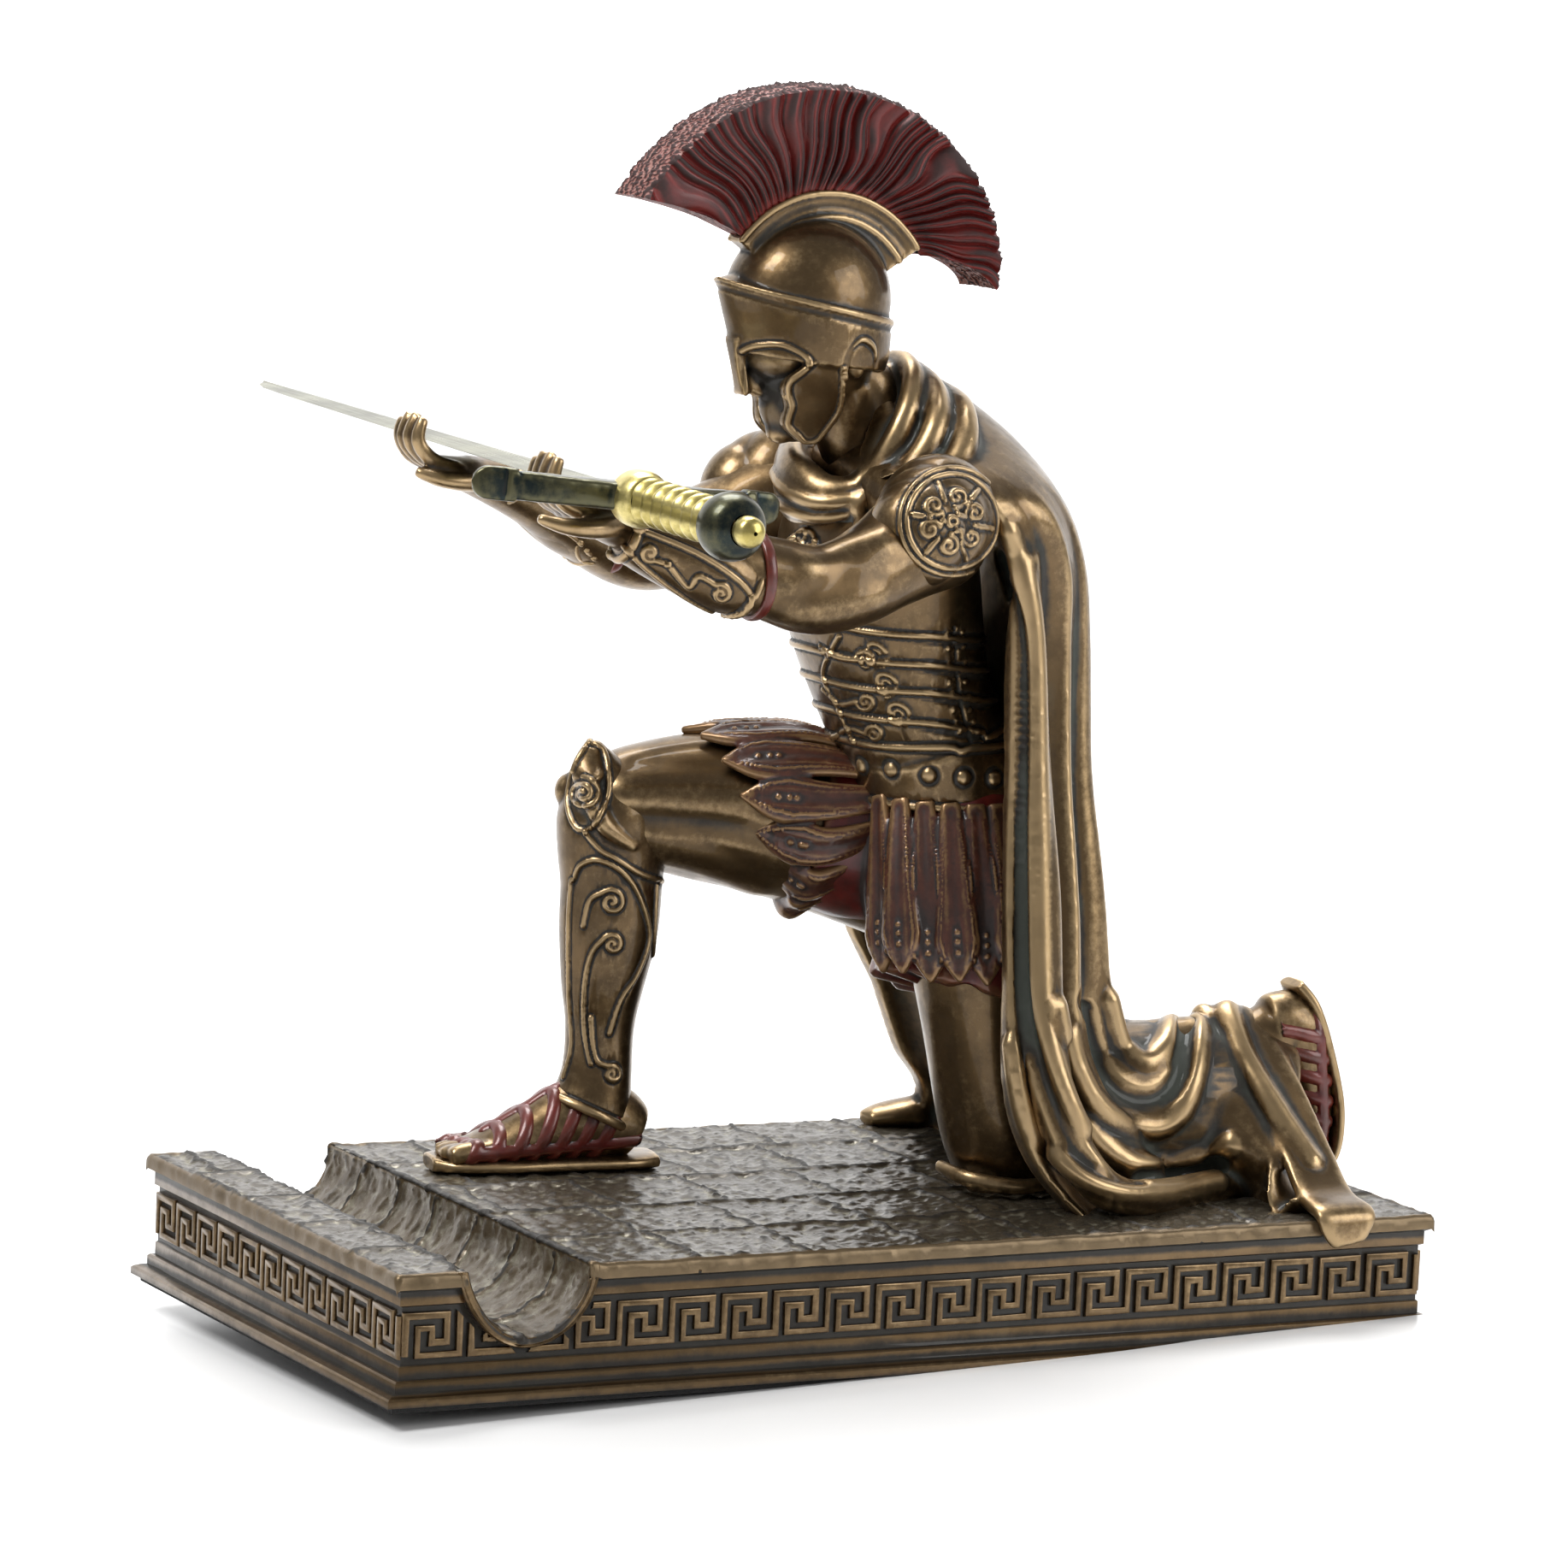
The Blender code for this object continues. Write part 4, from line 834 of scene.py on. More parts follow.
def cuirass():
    """The banded body armour with its seam, rivets and scrolls, and the broad studded belt."""
    clay = Clay()
    clay.limb(TORSO, points=64, blunt=2.3)
    shoulders = [(9.6, -15, 106.5, 5.5, 6.4), (9, 3, 110, 6.5, 7), (9.6, 21, 106.5, 5.5, 6.4)]
    clay.limb(shoulders, side=(1, 0, 0))
    clay.limb(BELT, points=64, blunt=2.3)
    skin = clay.skin(0.34, settle=7)
    turns = np.linspace(0, math.tau, 420)
    for x, z in ((19.4, 72), (17.5, 77), (15.9, 81.6), (14.6, 86.4)):
        ring = [(x - 13.4 * math.cos(t), MEDIAN + 17 * math.sin(t), z + 1.6 * math.cos(t)) for t in turns]
        ring = skin.near(ring)
        skin.bead(ring, 0.6, 0.5, floor=0.25)
        skin.bead(ring - (0, 0, 1.3), 0.35, -0.18)
    for x, y, z, depth, width in (BELT[0], BELT[2]):
        ring = [(x - depth * math.cos(t), y + width * math.sin(t), z) for t in turns]
        skin.bead(skin.near(ring), 0.7, 0.45, floor=0.3)
    for k in range(16):
        angle = math.tau * (k + 0.5) / 16
        c, s = math.cos(angle), math.sin(angle)
        spot = [(22.7 - 13.3 * c, MEDIAN + 16.4 * s, 64.4 + 0.6 * c)]
        skin.bead(skin.near(spot), 1.25, 0.75, floor=0.2)
    for side in SIDES:
        seam = ((16.2, 16.2, 88), (18.6, 15.4, 78), (21.4, 15.6, 70))
        seam = [(x, MEDIAN + side * out, z) for x, out, z in seam]
        seam = skin.near(through(seam, 40))
        skin.bead(seam, 0.35, -0.3)
        for shift in (-1.6, 1.6):
            spots = seam[8:-4:9] + (shift, 0, 0)
            skin.bead(skin.near(spots), 0.5, 0.35)
        for z, x in ((83.6, 5.8), (78.8, 7.6), (74, 9.8)):
            for radius, width, height in ((1.9, 0.42, 0.36), (0.9, 0.35, 0.3)):
                disc = [(x + radius * math.cos(t), MEDIAN + side * 13, z + radius * math.sin(t))
                        for t in turns[::6]]
                skin.bead(skin.near(disc), width, height)
    medal = [(-2.6, MEDIAN + 5.4 * math.cos(t), 96 + 5.4 * math.sin(t)) for t in turns]
    skin.bead(skin.near(medal), 0.5, 0.4)
    for angle in ring_angles(8):
        c, s = math.cos(angle), math.sin(angle)
        petal = [(-2.6, MEDIAN + r * c, 96 + r * s) for r in np.linspace(1.4, 4.2, 20)]
        skin.bead(skin.near(petal), 0.7, 0.4)
    for stroke in CHEST_SCROLLS:
        skin.bead(skin.seen(stroke), 0.5, 0.4, floor=0.16)
    return skin


def limb_armour():
    """Pauldrons, bracers and the greave, each with a raised rim and scrollwork."""
    clay = Clay()
    for side, y in ((-1, -21.4), (1, 27.4)):
        clay.ball((8.6, y, 105.2), (9.8, 7.4, 9.9), -8)
        clay.ball((6.2, y + side * 2.6, 104.6), (9.4, 6.8, 9.2), -8)
        clay.ball((2.6, y + side * (5.4 if side < 0 else 2.6), 103.6), (7.6, 6.8, 8.4), -8)
    for stations in (NEAR_BRACER, FAR_BRACER):
        clay.limb(stations)
    clay.limb(GREAVE, points=40)
    for side in SIDES:
        clay.ball((-29.2, 20 + side * 3.6, 58.4), (2.2, 2.4, 2.8))
    clay.limb([(-23, 12.4, 51, 1, 1), (-27.6, 13.4, 55, 1.6, 2.4), (-29.6, 15.6, 60.4, 1.6, 3),
               (-28.4, 18.4, 65.6, 0.9, 1.6)], side=(0, 0.6, 0.8))
    clay.limb([(38, -18.6, 2.2, 1, 1), (30, -20, 1.6, 1.2, 1.3), (22.8, -16.4, 2.4, 1.1, 1.4),
               (21, -9, 3.4, 0.9, 1)], side=(0, 0, 1))
    skin = clay.skin(0.3, settle=6)
    turns = np.linspace(0, math.tau, 240)
    for stations in (NEAR_BRACER, FAR_BRACER):
        path = through(stations, 8)
        rings = rings_along(path, turns)
        for ring in (rings[1], rings[-2]):
            skin.bead(skin.near(ring), 0.7, 0.5, floor=0.2)
        for angle in (0.6, 2.54):
            line = [ring[0] for ring in rings_along(path, [angle])]
            skin.bead(skin.near(through(line, 6)), 0.55, 0.4)
    skin.bead(skin.near(rings_along(through(GREAVE, 8), turns)[4]), 0.8, 0.5, floor=0.25)
    for stroke in SHOULDER_SCROLLS + BRACER_SCROLLS + GREAVE_SCROLLS:
        skin.bead(skin.seen(stroke), 0.5, 0.42, floor=0.18)
    for across, high in ((8, 8.2), (6.9, 7.1), (3, 3), (1, 1)):
        ring = [(8 + across * math.cos(t), 40, 105 + high * math.sin(t)) for t in turns]
        skin.bead(skin.cast(ring, [(0, -1, 0)] * len(ring)), 0.5, 0.42, floor=0.18)
    return skin


def circle(centre, across, high, start=0, end=360):
    """An arc of the picture plane, in degrees."""
    return [
        (centre[0] + across * math.cos(turn), centre[1] + high * math.sin(turn))
        for turn in np.radians(np.linspace(start, end, 150))
    ]


def curve(*points):
    return through(points, 24)


# Scrollwork as strokes of the picture plane, in millimetres right of and above its middle
SHOULDER = (25.6, 40)
SHOULDER_SCROLLS = (
    [circle(SHOULDER, 7.9, 8.2), circle(SHOULDER, 6.9, 7.2), circle(SHOULDER, 0.7, 0.7)]
    + [
        spiral((SHOULDER[0] + 3.6 * math.cos(turn), SHOULDER[1] + 3.7 * math.sin(turn)), 1.55, 1.5,
               math.degrees(turn) + 180, hand, tail=((SHOULDER[0] + 1.4 * math.cos(turn + 0.5 * hand),
                                                      SHOULDER[1] + 1.4 * math.sin(turn + 0.5 * hand)),))
        for turn, hand in zip(np.radians(np.arange(20, 380, 60)), (1, -1) * 3)
    ]
    + [
        curve(*[(SHOULDER[0] + reach * math.cos(turn), SHOULDER[1] + reach * math.sin(turn))
                for reach in (3.4, 4.8, 6.2)])
        for turn in np.radians(np.arange(50, 410, 60))
    ]
)
BRACER_SCROLLS = [
    curve((-25.6, 40), (-20, 38), (-13, 35), (-7.6, 31.6), (-5, 28.6), (-6, 26), (-9.6, 25.8), (-15, 28.4),
          (-21, 32.8), (-25.6, 37.4)),
    spiral((-9.6, 29), 1.5, 1.5, 120, 1, tail=((-13, 31.6), (-14.6, 30), (-17.6, 33.4))),
    spiral((-20.4, 35.2), 1.3, 1.4, 300, 1, tail=((-17.6, 33.4),)),
    circle((-29.4, 35.6), 2.1, 1.9), spiral((-29.4, 35.6), 1.3, 1.4, 90),
    curve((-36, 40), (-32, 37.6), (-28, 33.6), (-24, 31.2)),
]
GREAVE_SCROLLS = [
    curve((-29.6, 6.6), (-32, 2.6), (-33, -2.6), (-32, -6.2), (-30.4, -7.2)),
    curve((-29.4, 6.4), (-27.3, 4.8), (-26.7, -1), (-28.6, -5.8), (-30.4, -7.2)),
    spiral((-30.6, -1.4), 2.5, 2, 90, 1),
    curve((-30.4, -7.2), (-28, -10), (-25.6, -11.4), (-22, -13.6), (-18.6, -14.8)),
    curve((-32, -14.6), (-31, -12.4), (-28.6, -11.6), (-25.4, -12.8), (-22.8, -15.6), (-21, -20),
          (-20.6, -24), (-22.4, -29), (-24.8, -32.8), (-26.6, -38)),
    spiral((-26.2, -18), 2.0, 1.6, 130, 1, tail=((-29.6, -17.8), (-30.6, -21.6))),
    spiral((-26.1, -24.4), 1.6, 1.5, 150, 1,
           tail=((-29.4, -26), (-30.4, -31), (-30.4, -37.6), (-29.4, -42.6))),
    spiral((-26.2, -44.2), 1.4, 1.5, 120, 1, tail=((-28.8, -41.6), (-29.4, -35.6))),
    curve((-32.4, -14.6), (-32.8, -21), (-32.8, -31), (-32.4, -39.6), (-33.6, -44.6)),
    curve((-19.4, -15.6), (-20, -26), (-21.4, -33), (-22.6, -41), (-22.6, -47)),
]
CHEST_SCROLLS = [
    spiral((12.4, 18.9), 1.5, 1.6, 180, 1, tail=((8, 19.4), (5.6, 21))),
    spiral((12.5, 12.6), 1.4, 1.6, 180, -1, tail=((8.6, 12.2), (6, 14.4))),
    spiral((13.8, 7.7), 1.3, 1.6, 180, 1, tail=((10, 8.4), (7.4, 7))),
    spiral((1.8, 36.4), 1.8, 1.8, 0, 1, tail=((6, 35.4), (8.6, 33.2))),
    spiral((5, 31.8), 1.2, 1.5, 90, -1),
    curve((8.4, 22.6), (6, 17), (8, 12), (10.6, 6.4)),
]


NEAR_BRACER = [(-26.5, -28.3, 95.8, 4.6, 5.2), (-31, -27.9, 98, 5.6, 6), (-39, -26.8, 101, 4.8, 5.4),
               (-46, -25.8, 103.6, 3.6, 4.8)]
FAR_BRACER = [(-25, 28, 96.8, 4.2, 5), (-30, 27, 99.8, 4.9, 5.8), (-36.5, 25.2, 103.6, 4.2, 5.3),
              (-43, 23.2, 106.6, 3.2, 4.6)]
GREAVE = [
    (-25.8, 20, 8, 7, 6.6), (-25, 20, 10, 6.4, 6.2), (-24.2, 20, 15, 5.5, 5.4), (-24, 20, 22, 5.4, 5.4),
    (-23.8, 20, 29, 6.6, 6.3), (-23.2, 20, 37, 7.8, 7.3), (-23, 20, 44, 8, 7.6), (-23.3, 20, 50, 8.4, 8.1),
    (-24.4, 20, 57, 7.6, 8), (-26.4, 20, 63, 3.8, 5), (-27.2, 20, 66.6, 1, 1.6),
]


def strap(clay, start, middle, end, width, side):
    """One hanging strap with a pointed tip."""
    stations = [(*start, 1, width * 0.5), (*middle, 1.1, width * 0.84), (*end, 1.2, width * 1.12)]
    path = list(through(stations, 4))
    last = Vector(path[-1][:3])
    ahead = (last - Vector(path[-3][:3])).normalized()
    path.append((*(last + ahead * width * 0.8), 1.1, width * 0.85))
    path.append((*(last + ahead * width * 1.9), 0.6, 0.3))
    clay.limb(path, side=side, steps=3, points=20, blunt=3)
    return [Vector(point[:3]) for point in path]


def skirt_straps():
    """The studded, ribbed straps that hang from the belt, and those over the raised thigh."""
    clay = Clay()
    lines = []
    for i in range(15):
        share = i / 14
        angle = math.radians(196 + 216 * share)
        around = Vector((math.cos(angle), math.sin(angle), 0))
        side = (-around.y, around.x, 0)
        bend = 2 * abs(min(share * 2, 1) - 0.45)
        layer = 0.8 * (i % 2)
        top, middle, end = (
            Vector((x + around.x * deep, y + around.y * wide, z))
            for x, y, z, deep, wide in (
                (24.4, 2, 60.5, 13.6, 16.6), (24.4, -2.6, 49, 15.2 + layer, 15.8 + layer),
                (24.6, -5, 39 + bend + layer, 16 + layer, 15.6 + layer),
            )
        )
        lines.append((strap(clay, top, middle, end, 3.1, side), around, Vector(side)))
    for i in range(11):
        angle = math.radians(-158 + 28.6 * i)
        around = Vector((0, math.sin(angle), math.cos(angle)))
        side = (0, around.z, -around.y)
        reach = 4.4 * (1 - around.z)
        top = Vector((15, 8, 57)) + around * 8.8
        middle = Vector((5, 14.6, 54.9)) + around * 13.9
        end = Vector((-5 + reach, 17, 55.2)) + around * 13.4
        lines.append((strap(clay, top, middle, end, 3.5, side), around, Vector(side)))
    skin = clay.skin(0.3, settle=3)
    for line, around, side in lines:
        path = through(line, 6)
        width = np.interp(np.linspace(0, 1, len(path)), (0, 0.75, 0.88, 1), (1.4, 3, 2.4, 0.1))[:, None]
        outward = np.array(around) * 1.25
        for share in (-0.9, 0.9):
            edge = path + np.array(side) * width * share + outward
            skin.bead(edge[6:], 0.36, 0.26, floor=0.1)
        skin.swell(path[4:-4] + outward, 1.5, -0.3)
        for place in (0.68, 0.76, 0.84):
            spot = path[int(len(path) * place)] + outward
            skin.bead(spot[None], 0.62, 0.5)
    return skin


def tunic():
    """The cloth under the straps, with soft pleats at its hem."""
    clay = Clay()
    body = [(25.4, 2, 58, 13.2, 16.2), (24.4, -2, 49, 14, 15.2), (27.4, -5, 38, 14.4, 14.4),
            (25.2, -6.4, 29.4, 15, 13.2)]
    clay.limb(body, points=64)
    over = [(23, 9, 51, 14.6, 13.6), (14, 12.2, 53, 14.2, 13.4), (7, 14, 54.4, 13, 12.6)]
    clay.limb(over, points=64)
    skin = clay.skin(0.36, settle=5)
    x, y, z = skin.points.T
    angle = np.arctan2(y + 5, x - 25)
    low = 1 - smoothstep(30, 46, z)
    skin.raise_by(low * (0.4 * np.sin(angle * 9 + z * 0.1) + 0.2 * np.sin(angle * 17 + z * 0.2)))
    angle = np.arctan2(y - 16, z - 55)
    edge = 1 - smoothstep(-2, 8, x)
    skin.raise_by(edge * 0.3 * np.sin(angle * 11))
    return skin


CLOAK_ROWS = [
    (109.8, 127, 2.5, 2.5, 16, -5.4, 11.4), (109.4, 123, 2, 2, 22.5, -12, 18),
    (112.4, 116.5, 7, 7, 30.5, -18.6, 24.6), (108, 108, 15, 15, 36.5, -25.6, 31.6),
    (98, 98, 21, 21, 41, -25, 31), (85, 85, 21.3, 21.3, 43.6, -23.6, 29.6),
    (66, 66, 21.6, 21.6, 44.4, -24.6, 30.6), (50, 50, 21.2, 22.4, 46.6, -26.6, 31),
    (36, 35, 21, 24, 48.6, -28.4, 32), (30, 28, 20.8, 27, 51, -29, 32.4),
    (25, 22, 20.8, 30, 54, -29.4, 32.8), (20, 17, 21, 32.6, 59, -30, 34),
    (13, 11, 22.4, 36.6, 67, -31, 36), (6, 5, 26, 42.6, 74, -32, 39),
    (-1.5, -1.5, 33, 42, 77, -33, 42),
]
CLOAK_FOLDS = 8


def cloak():
    """The cloak from collar to plinth: folds down the back, a swag over the calf, and a hem that drips."""
    clay = Clay()
    columns = 193
    outer, inner = [], []
    for row, (z_edge, z_back, near_x, far_x, back_x, near_y, far_y) in enumerate(through(CLOAK_ROWS, 6)):
        fall = min(max((row - 15) / 24, 0), 1)
        outside, inside = [], []
        for k in range(columns):
            angle = math.radians(-90 + 180 * k / (columns - 1))
            power = 0.95 - 0.17 * smoothstep(14, 46, z_edge)
            c = max(math.cos(angle), 0) ** power
            s = math.copysign(abs(math.sin(angle)) ** power, math.sin(angle))
            edge_x = near_x + (far_x - near_x) * (s + 1) / 2
            middle = (near_y + far_y) / 2
            share = k / (columns - 1)
            wave = math.cos(math.tau * CLOAK_FOLDS * share)
            crease = math.cos(math.tau * (CLOAK_FOLDS * 2.6 * share + 0.012 * row)) * (0.4 + 0.6 * fall)
            fold = 1 - fall * (0.025 - 0.055 * wave) + 0.009 * crease * min(row / 12, 1)
            y = middle + (far_y - near_y) / 2 * s
            z = z_edge + (z_back - z_edge) * c
            outside.append((edge_x + (back_x - edge_x) * c * fold, middle + (y - middle) * fold, z))
            dish = min(9, (back_x - edge_x) * 0.5)
            wall = 0.9 if z_edge < 105 else 0.72
            inside.append((edge_x + dish * c, middle + (y - middle) * wall, z))
        outer.append(outside)
        inner.append(inside)
    clay.plate(outer, inner)
    drape(clay)
    skin = clay.skin(0.44, settle=12)
    for strokes, reach, height in CLOAK_STROKES:
        for stroke in strokes:
            skin.swell(skin.seen(through(stroke, 24)), reach, height)
    return skin


# Folds of the cloak as strokes of the picture plane: ridges, then the hollows beside them
CLOAK_STROKES = (
    ((
        ((42, -34), (44.5, -43), (49, -49.5), (55.6, -52.5), (60.4, -50), (62.8, -43), (63.2, -35)),
        ((50, -33), (52, -39.6), (55.4, -42), (58.4, -39), (59.4, -34)),
        ((34.6, -40), (37.4, -51), (42.6, -58), (50, -61), (58, -61.6), (66, -60)),
        ((67.6, -34), (70.6, -42), (75.6, -50), (80.4, -57)),
        ((34, 38), (38, 24), (38.6, 0), (38.8, -24), (40, -38), (44.6, -50), (50, -56.4), (58, -58),
         (68, -55)),
    ), 2.8, 1.1),
    ((
        ((45.4, -33), (47.6, -42), (51.6, -47), (56.6, -48), (60.4, -44), (61.4, -36)),
        ((33, 34), (36, 20), (36, -10), (36.4, -30), (38.4, -42), (42.6, -53), (48, -59), (56, -60),
         (66, -57.6)),
    ), 2.4, -1.0),
    ((
        ((-2.7, 51.6), (-1, 46), (4, 43), (9, 43), (12.6, 44.3)),
        ((-3.6, 47), (-1.4, 43), (4, 40.6), (9, 41), (12, 43)),
    ), 1.5, 0.6),
)


def drape(clay):
    """The rolled edges and swags that the fan of folds ends in."""
    rim = PLINTH_LOW.y
    near_fold = [
        (22.5, -24, 100, 2.4, 2.4), (24, -24.6, 84, 2.6, 2.6), (25, -26, 66, 2.8, 2.8),
        (26, -28.5, 48, 3, 3), (26, -31, 30, 3.2, 3.2), (28, -34, 15, 3.2, 3.2),
        (33.4, -36.4, 5.4, 3.2, 3.2), (42, -35, 2.2, 2.8, 2.8), (56, -29, 1.6, 2.6, 2.6),
        (68, -25.5, 1.4, 2.2, 2.2),
    ]
    clay.limb(near_fold)
    over_calf = [(36, -12, 12, 13, 16), (48, -13.5, 12.3, 13.4, 14), (60, -15.5, 12.8, 13, 12),
                 (70, -17, 13.2, 12.6, 10.5), (76, -18, 12, 11, 8.5)]
    clay.limb(over_calf)
    band = [(67, -11, 24.6, 1.1, 3.6), (67.4, -17, 26.6, 1.2, 4.2), (69.6, -26, 18.8, 1.2, 4.4),
            (71.4, -34, 8.8, 1.2, 4.6), (71.4, -41, 2.4, 1.2, 5), (71.2, rim + 1.6, 0.8, 1.2, 5.4),
            (71.2, rim + 0.4, -1.4, 1, 4.8), (71.6, rim + 0.5, -4, 0.9, 3)]
    clay.limb(band, side=(1, 0, 0), points=40, blunt=4)
    fill = [(62, -17, 15, 9, 9), (66, -23, 9, 8, 8), (69, -31, 1, 3, 8), (70, -41, 0, 1, 6)]
    clay.limb(fill)
    clay.limb([(34.5, 41, 0.8, 1.4, 2.4), (38, 41, 1.4, 2, 3.6), (44, 40, 2, 2.6, 4)])
    for y in (-4.4, -6.4, -8.4):
        clay.limb([(3.6, -6.4 + (y + 6.4) * 0.4, 108.4, 1.2, 0.9), (2.6, y, 104.6, 1.2, 1),
                   (2, y, 101, 0.8, 0.8)])
    clay.limb([(3, -7.4, 109.4, 1.6, 1.5), (3, -5.6, 107.6, 1.6, 1.5)], side=(1, 0, 0))
    clay.limb([(4.6, -6.6, 108, 2, 2.2), (-0.6, -3, 106.4, 2.8, 4), (-2, 4, 107.4, 3, 5.6),
               (1.4, 12, 109.4, 3.2, 5.6), (7, 19, 111, 3, 4.6)], side=(0, 0, 1))
    clay.limb([(13.4, 3, 125.4, 2.4, 5), (14, 3, 121, 4, 11), (13, 3, 115, 6, 17), (12, 3, 108, 8, 20)])
    for near in COLLAR:
        clay.limb(near)
        far = [(x, 2 * MEDIAN - y, z, depth, width) for x, y, z, depth, width in near]
        clay.limb(far)


# The rolled folds of the collar on the near side, from the nape down to the clasp
COLLAR = (
    [(14.4, 3, 127.2, 1.6, 1.8), (13, -3.4, 125.4, 1.7, 1.8), (10, -8, 120.6, 1.9, 1.9),
     (7, -8.6, 114.4, 2, 1.9), (4.4, -6.8, 109, 1.6, 1.6)],
    [(16.6, 3, 125.4, 1.8, 2), (15.4, -6, 123, 1.9, 2.2), (12.6, -12.2, 118.4, 2, 2.2),
     (8.8, -12.4, 112.4, 2, 2.2), (4.6, -7.4, 108.6, 1.6, 1.6)],
    [(19.6, 3, 122.6, 2, 2.2), (18.6, -9, 120.4, 2.2, 2.4), (15, -16, 114.4, 2.2, 2.4),
     (9.4, -15.4, 109.4, 1.9, 2), (5, -8, 107.4, 1.5, 1.5)],
)


def sandals():
    """The red straps over both feet, which stand out of the feet they are shaped on."""
    clay = Clay()
    foot_forms(clay)
    skin = clay.skin(0.28, settle=7)
    paths = []
    turns = np.radians(np.linspace(-4, 184, 70))
    for x in np.linspace(-23.4, -43.4, 7):
        middle = np.array([x - 2.6, 19.4 + (-20 - x) * 0.15, 2.2])
        paths.append(strap_on(skin, middle, turns, (0.42, 1)))
    for side in SIDES:
        starts = [(x, 20 + side * 20 - 0.14 * (x + 20), 4.6 - 1.6 * (-16 - x) / 30)
                  for x in np.linspace(-16, -45, 90)]
        paths.append(skin.cast(starts, [(0, -side, 0)] * 90))
    starts = [(x, 19.6 - (x + 22) * 0.14, 30) for x in np.linspace(-24, -42, 60)]
    paths.append(skin.cast(starts, [(0, 0, -1)] * 60))
    for z in np.linspace(4.5, 24, 7):
        paths.append(strap_on(skin, np.array([82.6, -18, z - 1]), turns, (-1, 0.2)))
    for side in SIDES:
        starts = [(82.6 - 0.08 * z, -18 + side * 20, z) for z in np.linspace(2.5, 27, 80)]
        paths.append(skin.cast(starts, [(0, -side, 0)] * 80))
    skin.raise_by(np.full(len(skin.points), -0.6))
    skin.bead(np.concatenate(paths), 1.4, 1.15)
    return skin


def strap_on(skin, middle, turns, lean):
    """Where a strap round a middle lies on a skin, its arch leaning by shares along x and z."""
    ways = np.stack([lean[0] * np.sin(turns), np.cos(turns), lean[1] * np.sin(turns)], axis=1)
    return skin.cast(middle + 20 * ways, -ways)


def arm_straps():
    """The narrow red straps that hold the bracers."""
    clay = Clay()
    for x, y, z, reach in ((-25.2, -27.4, 97.9, 6.5), (-22.6, 27.6, 98, 6.3)):
        ring = [(x, y + reach * math.cos(t), z + reach * math.sin(t), 0.5, 0.9)
                for t in np.linspace(0, math.tau, 25)]
        clay.limb(ring, side=(1, 0, 0), steps=2, points=16, blunt=3)
    return clay.skin(0.28, settle=2)


def soles():
    clay = Clay()
    planted = [(-14.6, 19, 1, 1.2, 4), (-20, 19.4, 1, 1.2, 5.4), (-30, 20.6, 1, 1.2, 5.7),
               (-40, 22.2, 1, 1.2, 6.8), (-47, 23.6, 1, 1.2, 6.2), (-50.4, 24.2, 1, 1.2, 3.4)]
    clay.limb(planted, blunt=3)
    rear = [(77.6, -18, 31.6, 1, 3), (80, -18, 28, 1.1, 4.8), (83, -18, 20, 1.1, 5.2),
            (84.8, -18, 11.5, 1.1, 5.8), (84, -18, 4.4, 1.1, 5.8), (80, -18, 1, 1.1, 5),
            (76, -18, 0.8, 1.1, 3.4)]
    clay.limb(rear, blunt=3)
    return clay.skin(0.3, settle=1)


STONE_LONG = 19
STONE_ROWS = 5


def slate_height(x, y):
    """Height of the paving over its mean level, with its joints, at places on the top."""
    flat = np.stack([x, y, np.zeros_like(x)], axis=-1)
    sway = 0.9 * wander(flat, 13, 41)
    row_width = (PLINTH_HIGH.y - PLINTH_LOW.y) / STONE_ROWS
    level = (y + 49 + sway) / row_width
    row = np.floor(level)
    shift = np.random.default_rng(5).uniform(0, 1, 16)[row.astype(int) % 16]
    place = (x + 100 + 0.8 * wander(flat + 50, 9, 42)) / STONE_LONG + shift
    column = np.floor(place)
    number = (row * 37 + column * 11).astype(int) % 64
    random = np.random.default_rng(8)
    lift, lean_x, lean_y = (random.uniform(-1, 1, 64)[number] for _ in range(3))
    across = np.minimum(level - row, row + 1 - level) * row_width
    along = np.minimum(place - column, column + 1 - place) * STONE_LONG
    edge = np.minimum(across, along) + 0.35 * wander(flat, 2.4, 43, 3)
    stone = smoothstep(0, 1.1, edge)
    rough = wander(flat, 5, 44, 4)
    chips = np.abs(wander(flat, 2.2, 45, 3))
    tilt = lean_x * (place - column - 0.5) + lean_y * (level - row - 0.5)
    height = 0.42 * stone + 0.14 * lift + 0.2 * tilt
    return height + 0.3 * rough * stone + 0.14 * chips * stone - 0.42


TROUGH_MIDDLE = PLINTH_LOW.x + 22.5
TROUGH_HALF = 9.8
TROUGH_DEEP = 10.3
TROUGH_WALL = 0.9
CUTTER_TOP = 40
BAND_INSET = 1.5
TOP_INSET = 1.45
LINING_LONG = 14
RIM = 2.4


def top_profile():
    """The run of the top from left to right as (x, height over the paving), with the trough."""
    left, right = PLINTH_LOW.x + TOP_INSET, PLINTH_HIGH.x - TOP_INSET
    found = [(left, -2.2), (left, -0.5), (left + 0.5, 0)]
    found += [(x, 0) for x in np.linspace(left + 1, TROUGH_MIDDLE - TROUGH_HALF - 0.4, 22)]
    found += trough_line(62)
    lip = TROUGH_MIDDLE + TROUGH_HALF
    found += [(lip - 0.35, 0.15), (lip + 0.3, 0.4), (lip + 1.1, 0.3)]
    found += [(x, 0) for x in np.linspace(lip + 1.9, right - 0.5, 290)]
    found += [(right, -0.5), (right, -2.2)]
    return np.array(found)


